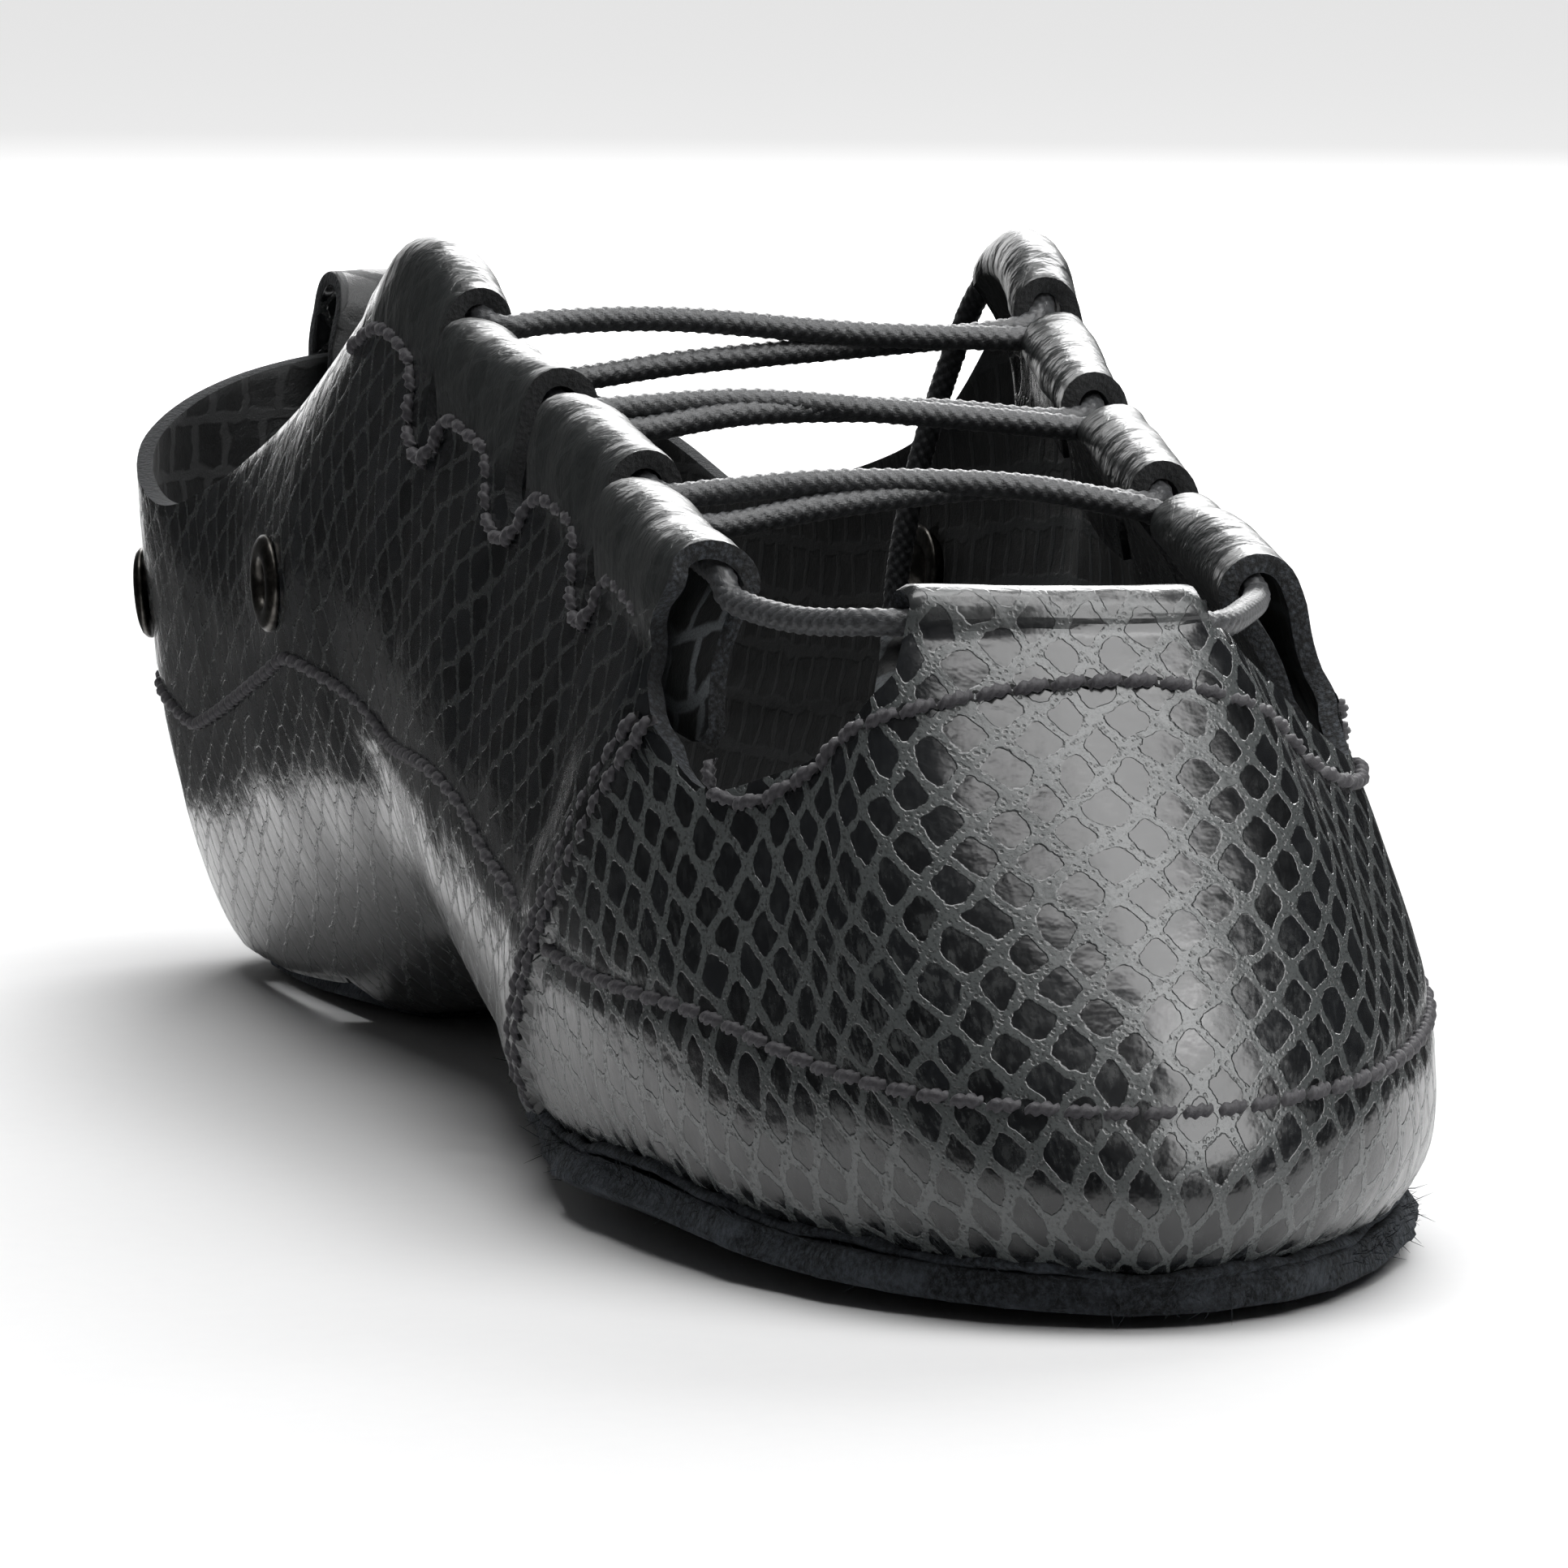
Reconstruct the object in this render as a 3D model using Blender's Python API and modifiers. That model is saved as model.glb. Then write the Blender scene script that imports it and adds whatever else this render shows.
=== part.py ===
"""Ghillie dance shoe for the left foot: soft leather upper with folded lace loops, split sole."""

import bpy
import bmesh
import numpy as np
from math import cos, pi, radians, sin

# Frame: +X is the wearer's left, the toe points to -Y, +Z is up, the floor is z = 0.
# The tables give lengths in millimetres, with s counted from the back of the heel to the toe.
# The origin is the middle of the heel's flat spot, HEEL_REST along s.
MM = 0.001
HEEL_REST = 35.0

# Leather and fold sizes
WALL = 1.5
FOLD_RADIUS = 2.9
FLAP_GAP = 3.5
FLAP_DEPTH = 15.0
SLOT_RADIUS = 2.3
SEAT_GAP = 0.3

# Split sole and insole
PAD_THICKNESS = 2.6
PAD_RIM = 1.2
PAD_REAR = 131.5
HEEL_PAD_THICKNESS = 1.8
HEEL_PAD_FRONT = 62.0
HEEL_PAD_INSET = 0.8
INSOLE_THICKNESS = 1.4
INSOLE_INSET = 2.1
FLAT_SHARE = 0.62

# Lace and eyelets
LACE_DIAMETER = 2.2
LACE_CLEARANCE = 1.85
CROSSING_ARCHES = (2.2, 0.9)
EYELET_RADIUS = 4.3
EYELET_BORE = 2.1
EYELET_BARREL = 2.8
EYELET_HOLE = 3.2
EYELET_PLATE = 0.5

# Pull loop at the centre back
TAB_WIDTH = 9.0
TAB_LEATHER = 1.3
TAB_TOP = 64.8
TAB_FOOT = 50.5

# A row for each section round the shoe, from the centre back along the inner side to the toe
# and home along the outer side. xf, sf, zf: foot of the wall on the sole. xt, st, zt: its crest.
# belly and shoulder: how far the wall is pushed out low down and high up. yoke: foot of the loops.
#  name                     xf     sf    zf     xt     st    zt  belly shoulder yoke
SECTIONS = (
    ("heel back",            0.0,   7.0,  2.6,   0.0,   2.5, 57.0,  8.0,  2.0, 49.0),
    ("inner heel back",     -9.3,   9.5,  2.6, -14.4,   6.0, 54.9,  7.5,  2.0, 47.0),
    ("inner heel corner",  -15.8,  16.3,  2.6, -24.9,  15.4, 50.4,  5.6,  0.6, 42.5),
    ("inner heel side",    -18.2,  28.0,  2.8, -28.4,  30.5, 45.6,  4.8, -1.4, 38.0),
    ("inner collar",       -18.2,  48.0,  3.2, -27.6,  50.0, 47.6,  4.5,  1.8, 40.0),
    ("inner rear waist",   -16.5,  72.0,  6.0, -26.3,  73.0, 54.3,  6.5,  6.5, 46.5),
    ("inner waist",        -15.5,  92.0,  9.8, -25.2,  92.0, 62.8,  9.5,  8.5, 55.5),
    ("inner loop 1",       -16.8, 107.0, 10.6, -24.0, 107.0, 70.6, 10.5,  8.0, 63.8),
    ("inner loop 2",       -20.4, 127.0,  9.8, -24.3, 127.0, 66.2, 10.8,  6.5, 60.0),
    ("inner loop 3",       -24.6, 150.0,  7.0, -23.6, 149.5, 61.3,  8.2,  5.8, 55.2),
    ("inner loop 4",       -27.6, 175.0,  5.8, -23.8, 174.0, 56.2,  6.6,  5.2, 50.0),
    ("inner ball",         -27.0, 195.0,  6.4, -24.6, 194.5, 51.9,  6.7,  4.0, 45.0),
    ("inner gap rear",     -25.8, 204.0,  5.9, -22.8, 200.2, 50.9,  6.6,  4.0, 37.0),
    ("inner gap front",    -23.4, 214.0,  5.1, -18.2, 205.6, 50.6,  7.0,  5.0, 38.4),
    ("inner toe corner",   -19.0, 224.5,  4.5, -14.9, 210.3, 50.5,  8.0,  7.0, 42.2),
    ("inner strap end",    -13.4, 233.2,  4.2, -12.8, 214.0, 50.4, 10.0,  9.0, 46.0),
    ("inner strap",         -8.0, 238.0,  4.0,  -7.2, 215.3, 50.3, 11.5, 10.0, 46.0),
    ("toe tip",             -2.0, 240.3,  3.9,  -1.2, 215.7, 50.2, 12.0, 10.0, 45.8),
    ("outer strap",          4.2, 238.8,  4.0,   4.8, 215.3, 49.9, 11.7, 10.0, 45.4),
    ("outer strap end",     10.6, 234.6,  3.9,  10.4, 214.0, 49.5, 11.6,  9.0, 45.4),
    ("outer toe corner",    18.6, 225.6,  4.0,  13.0, 210.3, 49.4, 11.2,  7.6, 43.0),
    ("outer gap front",     24.9, 214.8,  4.5,  17.2, 205.6, 49.3, 10.4,  6.4, 38.8),
    ("outer gap rear",      28.3, 204.6,  5.0,  22.0, 200.2, 49.4,  9.4,  5.8, 37.0),
    ("outer ball",          29.4, 195.0,  5.4,  24.0, 194.5, 50.0,  8.4,  5.6, 44.0),
    ("outer loop 4",        29.2, 175.0,  5.7,  24.7, 174.0, 54.6,  7.6,  5.2, 48.6),
    ("outer loop 3",        27.8, 150.0,  7.7,  26.9, 149.5, 60.0,  7.2,  4.8, 54.0),
    ("outer loop 2",        25.8, 127.0, 10.0,  30.0, 127.0, 66.0,  7.0,  5.0, 59.8),
    ("outer loop 1",        24.6, 107.0,  9.0,  33.0, 107.0, 70.0,  6.5,  5.0, 63.2),
    ("outer waist",         23.2,  92.0,  7.6,  32.4,  92.0, 59.2,  6.0,  4.5, 52.4),
    ("outer rear waist",    21.4,  72.0,  4.9,  30.8,  73.0, 51.2,  5.0,  4.0, 43.5),
    ("outer collar",        20.0,  48.0,  3.2,  29.4,  50.0, 47.0,  4.5,  2.0, 39.0),
    ("outer heel side",     18.8,  28.0,  2.8,  28.4,  30.5, 45.6,  4.8, -1.4, 38.0),
    ("outer heel corner",   16.0,  16.3,  2.6,  24.9,  15.4, 50.4,  5.6,  0.6, 42.5),
    ("outer heel back",      9.3,   9.5,  2.6,  14.4,   6.0, 54.9,  7.5,  2.0, 47.0),
)
STRAP_ENDS = ("inner strap end", "outer strap end")

# Where each folded lace loop starts and ends along the shoe
LOOPS = ((105.5, 123.9), (128.9, 147.0), (151.9, 170.9), (176.9, 195.5))

# Height of the underside along the middle of the foot: heel seat, arch, tread and toe spring
#            s     z
UNDERSIDE = (
    (0.0, 2.1), (60.0, 2.1), (72.0, 3.9), (92.0, 8.0), (107.0, 9.3), (127.0, 8.9),
    (138.0, 7.2), (150.0, 4.8), (160.0, 3.3), (167.0, 2.9), (226.0, 2.9), (241.0, 3.7),
)
SPINE_ENDS = (30.0, 205.0)

# Grid shares: heights of the wall rows from the foot to the yoke
PANEL_ROWS = (0.0, 0.04, 0.10, 0.18, 0.28, 0.40, 0.54, 0.69, 0.85, 1.0)
WALL_ROWS = 3
CURL_STEPS = 7
FLAP_ROWS = 3

# Eyelets: name, side of the foot, place along the crest, height of the middle
EYELETS = (
    ("eyelet_inner_quarter", -1, 78.5, 41.5),
    ("eyelet_inner_heel", -1, 17.0, 35.5),
    ("eyelet_outer_quarter", 1, 82.0, 41.5),
    ("eyelet_outer_heel", 1, 17.0, 35.5),
)

# The outer lace end: out of the rear of loop 1 and down inside the shoe onto the insole
LACE_END_ROUTE = (
    (30.0, 104.3, 68.8), (29.8, 101.4, 68.0), (29.3, 99.2, 65.9), (28.5, 97.8, 62.8),
    (27.5, 96.8, 59.2), (26.5, 96.1, 55.4), (25.5, 95.6, 51.5), (24.6, 95.3, 47.0),
    (23.9, 95.1, 42.5), (23.5, 95.0, 38.0), (23.2, 95.0, 33.0), (22.8, 95.1, 28.0),
    (22.0, 95.3, 23.5), (20.6, 95.7, 19.0), (18.5, 96.4, 15.4), (15.9, 97.4, 13.2),
    (12.9, 98.8, 12.4), (9.6, 100.6, 12.3),
)


def clear_scene():
    """Remove every object, mesh and material that the file starts with."""
    for item in list(bpy.data.objects):
        bpy.data.objects.remove(item, do_unlink=True)
    for mesh in list(bpy.data.meshes):
        bpy.data.meshes.remove(mesh)
    for material in list(bpy.data.materials):
        bpy.data.materials.remove(material)


def make_material(name, colour, roughness, metallic=0.0):
    """A Principled material of one colour."""
    material = bpy.data.materials.new(name)
    material.use_nodes = True
    shader = material.node_tree.nodes["Principled BSDF"]
    shader.inputs["Base Color"].default_value = (*colour, 1.0)
    shader.inputs["Roughness"].default_value = roughness
    shader.inputs["Metallic"].default_value = metallic
    return material


def to_frame(points):
    """Millimetres as (x, s, z) to metres as (x, y, z)."""
    points = np.asarray(points, float)
    return np.stack([points[..., 0], HEEL_REST - points[..., 1], points[..., 2]], -1) * MM


def make_object(name, vertices, faces, material, weld=0.0):
    """A mesh object from points in metres; weld joins points that lie on each other."""
    mesh = bpy.data.meshes.new(name)
    mesh.from_pydata([tuple(v) for v in vertices], [], [tuple(f) for f in faces])
    if weld > 0.0:
        work = bmesh.new()
        work.from_mesh(mesh)
        bmesh.ops.remove_doubles(work, verts=work.verts, dist=weld)
        bmesh.ops.dissolve_degenerate(work, edges=work.edges, dist=weld)
        work.to_mesh(mesh)
        work.free()
    mesh.validate()
    item = bpy.data.objects.new(name, mesh)
    item.data.materials.append(material)
    bpy.context.scene.collection.objects.link(item)
    return item


def closed_spline(knots, values, period, where):
    """Smooth closed curve (periodic cubic spline) through values at knots, read at where."""
    count = len(knots)
    gaps = np.diff(np.append(knots, knots[0] + period))
    system = np.zeros((count, count))
    slopes = (np.roll(values, -1, 0) - values) / gaps[:, None]
    for row in range(count):
        before = gaps[row - 1]
        after = gaps[row]
        system[row, row - 1] = before
        system[row, row] = 2.0 * (before + after)
        system[row, (row + 1) % count] = after
    bends = np.linalg.solve(system, 6.0 * (slopes - np.roll(slopes, 1, 0)))
    where = np.mod(np.asarray(where, float) - knots[0], period) + knots[0]
    row = np.clip(np.searchsorted(knots, where, side="right") - 1, 0, count - 1)
    after = (row + 1) % count
    gap = gaps[row][:, None]
    left = (where - knots[row])[:, None]
    right = gap - left
    cubic = (bends[row] * right ** 3 + bends[after] * left ** 3) / (6.0 * gap)
    start = (values[row] / gap - bends[row] * gap / 6.0) * right
    end = (values[after] / gap - bends[after] * gap / 6.0) * left
    return cubic + start + end


class Shell:
    """The outer surface of the upper as a function of the place round the shoe and the height."""

    def __init__(self):
        self.names = [row[0] for row in SECTIONS]
        self.values = np.array([row[1:] for row in SECTIONS], float)
        middles = 0.5 * (self.values[:, 0:2] + self.values[:, 3:5])
        steps = np.linalg.norm(np.roll(middles, -1, 0) - middles, axis=1)
        self.knots = np.concatenate([[0.0], np.cumsum(steps)[:-1]])
        self.round = float(steps.sum())

    def rows(self, places):
        """The nine section values at each place round the shoe."""
        return closed_spline(self.knots, self.values, self.round, places)

    def knot(self, name):
        """The place of a named section."""
        return self.knots[self.names.index(name)]

    def place_at(self, s, side):
        """The place on one side whose crest is s along the shoe."""
        low = self.knots[0] if side < 0 else self.knot(STRAP_ENDS[1])
        high = self.knot(STRAP_ENDS[0]) if side < 0 else self.round
        fine = np.linspace(low, high, 1200)
        crest = self.rows(fine)[:, 4]
        if side > 0:
            fine = fine[::-1]
            crest = crest[::-1]
        crest = np.maximum.accumulate(crest)
        return float(np.interp(s, crest, fine))

    def profile(self, places, steps=48):
        """Each section's curve, a cubic from the foot to the crest, as (place, step, xyz)."""
        row = self.rows(places)
        foot = row[:, 0:3]
        crest = row[:, 3:6]
        step = 0.5
        along = (self.rows(places + step) - self.rows(places - step))[:, 0:2]
        along /= np.linalg.norm(along, axis=1)[:, None]
        outward = np.stack([-along[:, 1], along[:, 0], 0.0 * along[:, 0]], -1)
        height = (crest[:, 2] - foot[:, 2])[:, None] * np.array([[0.0, 0.0, 1.0]])
        low = foot + outward * row[:, 6:7] + 0.15 * height
        high = crest + outward * row[:, 7:8] - 0.33 * height
        t = np.linspace(0.0, 1.0, steps)[None, :, None]
        points = (1 - t) ** 3 * foot[:, None] + 3 * t * (1 - t) ** 2 * low[:, None]
        return points + 3 * t ** 2 * (1 - t) * high[:, None] + t ** 3 * crest[:, None]

    def at_heights(self, places, heights):
        """Points of the wall at the heights asked for, a row of heights for each place."""
        curves = self.profile(places)
        found = np.empty((len(places), heights.shape[1], 3))
        for number, curve in enumerate(curves):
            for axis in range(3):
                found[number, :, axis] = np.interp(heights[number], curve[:, 2], curve[:, axis])
        return found

    def normals(self, places, heights):
        """Outward unit normals of the wall, by finite differences."""
        step = 0.4
        ahead = self.at_heights(places + step, heights)
        behind = self.at_heights(places - step, heights)
        above = self.at_heights(places, heights + step)
        below = self.at_heights(places, heights - step)
        cross = np.cross(above - below, ahead - behind)
        return cross / np.linalg.norm(cross, axis=-1, keepdims=True)


def columns(shell):
    """Places round the shoe, the kind of each stretch between them, and each slot dip."""
    kinds = []
    places = []
    dips = []

    def stretch(start, end, parts, kind, dip=0.0):
        for part in range(parts):
            share = part / parts
            places.append(start + (end - start) * share)
            kinds.append(kind)
            bow = 1.0 - (2.0 * share - 1.0) ** 2
            dips.append(dip * np.sqrt(max(bow, 0.0)))

    def side(direction):
        back = 0.0 if direction < 0 else shell.round
        marks = [("wall", back, shell.place_at(LOOPS[0][0], direction), 15)]
        for number, (rear, front) in enumerate(LOOPS):
            marks.append(("loop", shell.place_at(rear, direction), shell.place_at(front, direction), 3))
            if number + 1 < len(LOOPS):
                start = shell.place_at(front, direction)
                end = shell.place_at(LOOPS[number + 1][0], direction)
                marks.append(("slot", start, end, 4))
        corner = shell.knot(STRAP_ENDS[0] if direction < 0 else STRAP_ENDS[1])
        marks.append(("gap", shell.place_at(LOOPS[-1][1], direction), corner, 9))
        return marks

    for kind, start, end, parts in side(-1):
        stretch(start, end, parts, kind, SLOT_RADIUS if kind == "slot" else 0.0)
    stretch(shell.knot(STRAP_ENDS[0]), shell.knot(STRAP_ENDS[1]), 8, "strap")
    for kind, start, end, parts in reversed(side(1)):
        stretch(end, start, parts, kind, SLOT_RADIUS if kind == "slot" else 0.0)
    return np.array(places), kinds, np.array(dips)


def fold_points(shell, places, straps, crest_rows):
    """The folded part of each loop: a half circle over the top and a flap down inside."""
    count = len(places)
    crest = crest_rows[:, 3:6]
    top = crest[:, 2:3]
    normal = -shell.normals(places, top - 0.6)[:, 0]
    across = np.where(straps, 0, 1)
    normal[np.arange(count), across] = 0.0
    normal /= np.linalg.norm(normal, axis=1)[:, None]
    up = np.stack([-normal[:, 0] * normal[:, 2], -normal[:, 1] * normal[:, 2],
                   normal[:, 0] ** 2 + normal[:, 1] ** 2], -1)
    up /= np.linalg.norm(up, axis=1)[:, None]
    centre = crest + normal * FOLD_RADIUS
    rows = []
    for step in range(1, CURL_STEPS + 1):
        angle = pi * step / CURL_STEPS
        rows.append(centre - normal * FOLD_RADIUS * cos(angle) + up * FOLD_RADIUS * sin(angle))
    drop = FLAP_DEPTH - FOLD_RADIUS
    for step in range(1, FLAP_ROWS + 1):
        share = step / FLAP_ROWS
        gap = FLAP_GAP + (2.0 * FOLD_RADIUS - FLAP_GAP) * (1.0 - share) ** 3
        wall = shell.at_heights(places, top - drop * share)[:, 0]
        wall[~straps, 1] = crest[~straps, 1]
        rows.append(wall + normal * gap)
    return np.stack(rows, 1)


def upper_mesh(shell):
    """Vertices and faces of the upper's outer skin, with slots, gaps and folded loops."""
    places, kinds, dips = columns(shell)
    row = shell.rows(places)
    tops = row[:, 8] - dips
    shares = np.array(PANEL_ROWS)[None, :]
    panel = shell.at_heights(places, row[:, 2:3] + (tops - row[:, 2])[:, None] * shares)
    wall_shares = np.arange(1, WALL_ROWS + 1)[None, :] / WALL_ROWS
    rise = (row[:, 5] - row[:, 8])[:, None]
    wall = shell.at_heights(places, row[:, 8:9] + rise * wall_shares)
    count = len(places)
    strap = np.array([kinds[i] == "strap" or kinds[i - 1] == "strap" for i in range(count)])
    fold = fold_points(shell, places, strap, row)
    grid = np.concatenate([panel, wall, fold], 1)
    panel_rows = len(PANEL_ROWS) - 1
    last = {"wall": panel_rows + WALL_ROWS, "slot": panel_rows, "gap": panel_rows,
            "loop": grid.shape[1] - 1, "strap": grid.shape[1] - 1}
    faces = []
    width = grid.shape[1]
    for column, kind in enumerate(kinds):
        after = (column + 1) % count
        for level in range(last[kind]):
            a = column * width + level
            b = after * width + level
            faces.append((a, b, b + 1, a + 1))
    used = sorted({corner for face in faces for corner in face})
    index = {old: new for new, old in enumerate(used)}
    faces = [tuple(index[corner] for corner in face) for face in faces]
    return to_frame(grid.reshape(-1, 3)[used]), faces


def add_solidify(item, thickness, offset):
    """Give a skin its real thickness in metres."""
    modifier = item.modifiers.new("thickness", "SOLIDIFY")
    modifier.thickness = thickness
    modifier.offset = offset
    modifier.use_rim = True
    modifier.use_even_offset = False


def eyelet_axis(shell, side, s, height):
    """Middle and outward axis of an eyelet on the outer face of the wall."""
    place = np.array([shell.place_at(s, side)])
    level = np.array([[height]])
    return shell.at_heights(place, level)[0, 0], shell.normals(place, level)[0, 0]


def turned(name, profile, centre, axis, material, sides=16):
    """A ring turned from a closed profile of (radius, reach along the axis)."""
    axis = axis / np.linalg.norm(axis)
    flat = np.cross(axis, [0.0, 0.0, 1.0])
    flat /= np.linalg.norm(flat)
    high = np.cross(flat, axis)
    vertices = []
    for side in range(sides):
        angle = 2.0 * pi * side / sides
        spoke = flat * cos(angle) + high * sin(angle)
        for radius, reach in profile:
            vertices.append(centre + spoke * radius + axis * reach)
    count = len(profile)
    faces = []
    for side in range(sides):
        after = (side + 1) % sides
        for point in range(count):
            ahead = (point + 1) % count
            faces.append((side * count + point, side * count + ahead,
                          after * count + ahead, after * count + point))
    item = make_object(name, to_frame(vertices), faces, material)
    return item


def point_outwards(item):
    """Turn the faces of a closed mesh outwards."""
    work = bmesh.new()
    work.from_mesh(item.data)
    bmesh.ops.recalc_face_normals(work, faces=work.faces)
    work.to_mesh(item.data)
    work.free()


def make_eyelet(shell, name, side, s, height, material):
    """A spool: a barrel through the leather with a thin plate on each face."""
    centre, axis = eyelet_axis(shell, side, s, height)
    outer = 0.4
    inner = -WALL - 1.05
    profile = (
        (EYELET_BORE, inner - EYELET_PLATE), (EYELET_RADIUS - 0.3, inner - EYELET_PLATE),
        (EYELET_RADIUS - 0.3, inner), (EYELET_BARREL, inner), (EYELET_BARREL, outer),
        (EYELET_RADIUS, outer), (EYELET_RADIUS - 0.4, outer + EYELET_PLATE),
        (EYELET_BORE, outer + EYELET_PLATE),
    )
    item = turned(name, profile, centre, axis, material)
    point_outwards(item)
    return item


def cut_eyelet_hole(shell, upper, name, side, s, height, material):
    """Cut the round hole that an eyelet sits in."""
    centre, axis = eyelet_axis(shell, side, s, height)
    reach = 4.0
    profile = ((0.001, -reach), (EYELET_HOLE, -reach), (EYELET_HOLE, reach), (0.001, reach))
    cutter = turned(name + "_cutter", profile, centre, axis, material, sides=16)
    work = bmesh.new()
    work.from_mesh(cutter.data)
    bmesh.ops.remove_doubles(work, verts=work.verts, dist=0.00001)
    bmesh.ops.holes_fill(work, edges=work.edges)
    bmesh.ops.recalc_face_normals(work, faces=work.faces)
    work.to_mesh(cutter.data)
    work.free()
    cutter.hide_render = True
    cutter.display_type = "WIRE"
    modifier = upper.modifiers.new(name, "BOOLEAN")
    modifier.operation = "DIFFERENCE"
    modifier.solver = "EXACT"
    modifier.object = cutter


def make_upper(shell, leather):
    """The hollow upper: one leather wall, open at collar, throat, gaps, slots and underneath."""
    vertices, faces = upper_mesh(shell)
    upper = make_object("upper", vertices, faces, leather)
    add_solidify(upper, WALL * MM, -1.0)
    for name, side, s, height in EYELETS:
        cut_eyelet_hole(shell, upper, name, side, s, height, leather)
    return upper


def underside(shell, places, shares, margin):
    """Points of the underside between the middle line and the wall's foot.

    shares run from 0 at the middle to 1 at the foot, moved out by margin millimetres.
    """
    row = shell.rows(places)
    foot = row[:, 0:3]
    reach = np.clip(foot[:, 1], *SPINE_ENDS)
    spine_z = np.interp(reach, *np.array(UNDERSIDE).T)
    middle_x = np.interp(reach, (30.0, 92.0, 127.0, 175.0, 205.0), (0.0, 3.6, 2.4, 0.5, 1.5))
    middle = np.stack([middle_x, reach, spine_z], -1)
    outward = foot[:, 0:2] - middle[:, 0:2]
    outward /= np.linalg.norm(outward, axis=1)[:, None]
    edge = foot.copy()
    edge[:, 0:2] += outward * margin
    shares = np.asarray(shares, float)[None, :, None]
    points = middle[:, None] + (edge - middle)[:, None] * shares
    plain = np.interp(points[..., 1], *np.array(UNDERSIDE).T)
    lift = np.clip((shares[..., 0] - FLAT_SHARE) / (1.0 - FLAT_SHARE), 0.0, None) ** 2
    edge_plain = np.interp(edge[:, 1], *np.array(UNDERSIDE).T)
    points[..., 2] = plain + lift * (foot[:, 2] - edge_plain)[:, None]
    return points


def make_sheet(shell, name, places, shares, margin, raise_by, thickness, offset, material):
    """A sole layer: strips from the middle line to the edge, given a thickness."""
    points = underside(shell, places, shares, margin)
    points[..., 2] += raise_by
    closed = name == "insole"
    count = len(places)
    width = points.shape[1]
    faces = []
    for column in range(count if closed else count - 1):
        after = (column + 1) % count
        for level in range(width - 1):
            a = column * width + level
            b = after * width + level
            faces.append((a, a + 1, b + 1, b))
    item = make_object(name, to_frame(points.reshape(-1, 3)), faces, material, weld=0.00005)
    point_outwards(item)
    if item.data.polygons[0].normal.z < 0.0:
        item.data.flip_normals()
    add_solidify(item, thickness * MM, offset)
    return item


def side_places(shell, foot_s, side):
    """The place on one side whose foot is foot_s along the shoe."""
    low = shell.knots[0] if side < 0 else shell.knot("toe tip")
    high = shell.knot("toe tip") if side < 0 else shell.round
    fine = np.linspace(low, high, 1200)
    foot = shell.rows(fine)[:, 1]
    if side > 0:
        fine = fine[::-1]
        foot = foot[::-1]
    return float(np.interp(foot_s, np.maximum.accumulate(foot), fine))


def mirrored_stations(shell, stations, spine_end):
    """Places on both sides for shared stations, so that the strips meet on the middle line."""
    inner = [side_places(shell, s, -1) for s in stations if s <= spine_end]
    outer = [side_places(shell, s, 1) for s in stations if s <= spine_end]
    return inner, outer


def make_insole(shell, material):
    """The insole inside the wall, from heel to toe."""
    stations = np.linspace(SPINE_ENDS[0], SPINE_ENDS[1], 15)
    inner, outer = mirrored_stations(shell, stations, SPINE_ENDS[1])
    heel = list(np.linspace(outer[0] - shell.round, inner[0], 11))[1:-1]
    toe = list(np.linspace(inner[-1], outer[-1], 15))[1:-1]
    places = np.array(inner + toe + outer[::-1] + heel)
    shares = (0.0, 0.35, FLAT_SHARE, 0.8, 1.0)
    return make_sheet(shell, "insole", places, shares, -INSOLE_INSET, 0.0,
                      INSOLE_THICKNESS, 1.0, material)


def make_forefoot_sole(shell, material):
    """The suede tread under ball and toe, ending in a step at the waist."""
    stations = np.linspace(PAD_REAR, SPINE_ENDS[1], 9)
    inner, outer = mirrored_stations(shell, stations, SPINE_ENDS[1])
    toe = list(np.linspace(inner[-1], outer[-1], 19))[1:-1]
    places = np.array(inner + toe + outer[::-1])
    shares = (0.0, 0.35, FLAT_SHARE, 0.8, 1.0)
    return make_sheet(shell, "forefoot_sole", places, shares, PAD_RIM, -SEAT_GAP,
                      PAD_THICKNESS, -1.0, material)


def make_heel_sole(shell, material):
    """The thin tread under the heel."""
    stations = np.linspace(HEEL_PAD_FRONT, SPINE_ENDS[0], 4)
    inner, outer = mirrored_stations(shell, stations, HEEL_PAD_FRONT)
    heel = list(np.linspace(inner[-1], outer[-1] - shell.round, 15))[1:-1]
    places = np.array(inner + heel + outer[::-1])
    shares = (0.0, 0.35, FLAT_SHARE, 0.8, 1.0)
    return make_sheet(shell, "heel_sole", places, shares, -HEEL_PAD_INSET, -SEAT_GAP,
                      HEEL_PAD_THICKNESS, -1.0, material)


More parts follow.
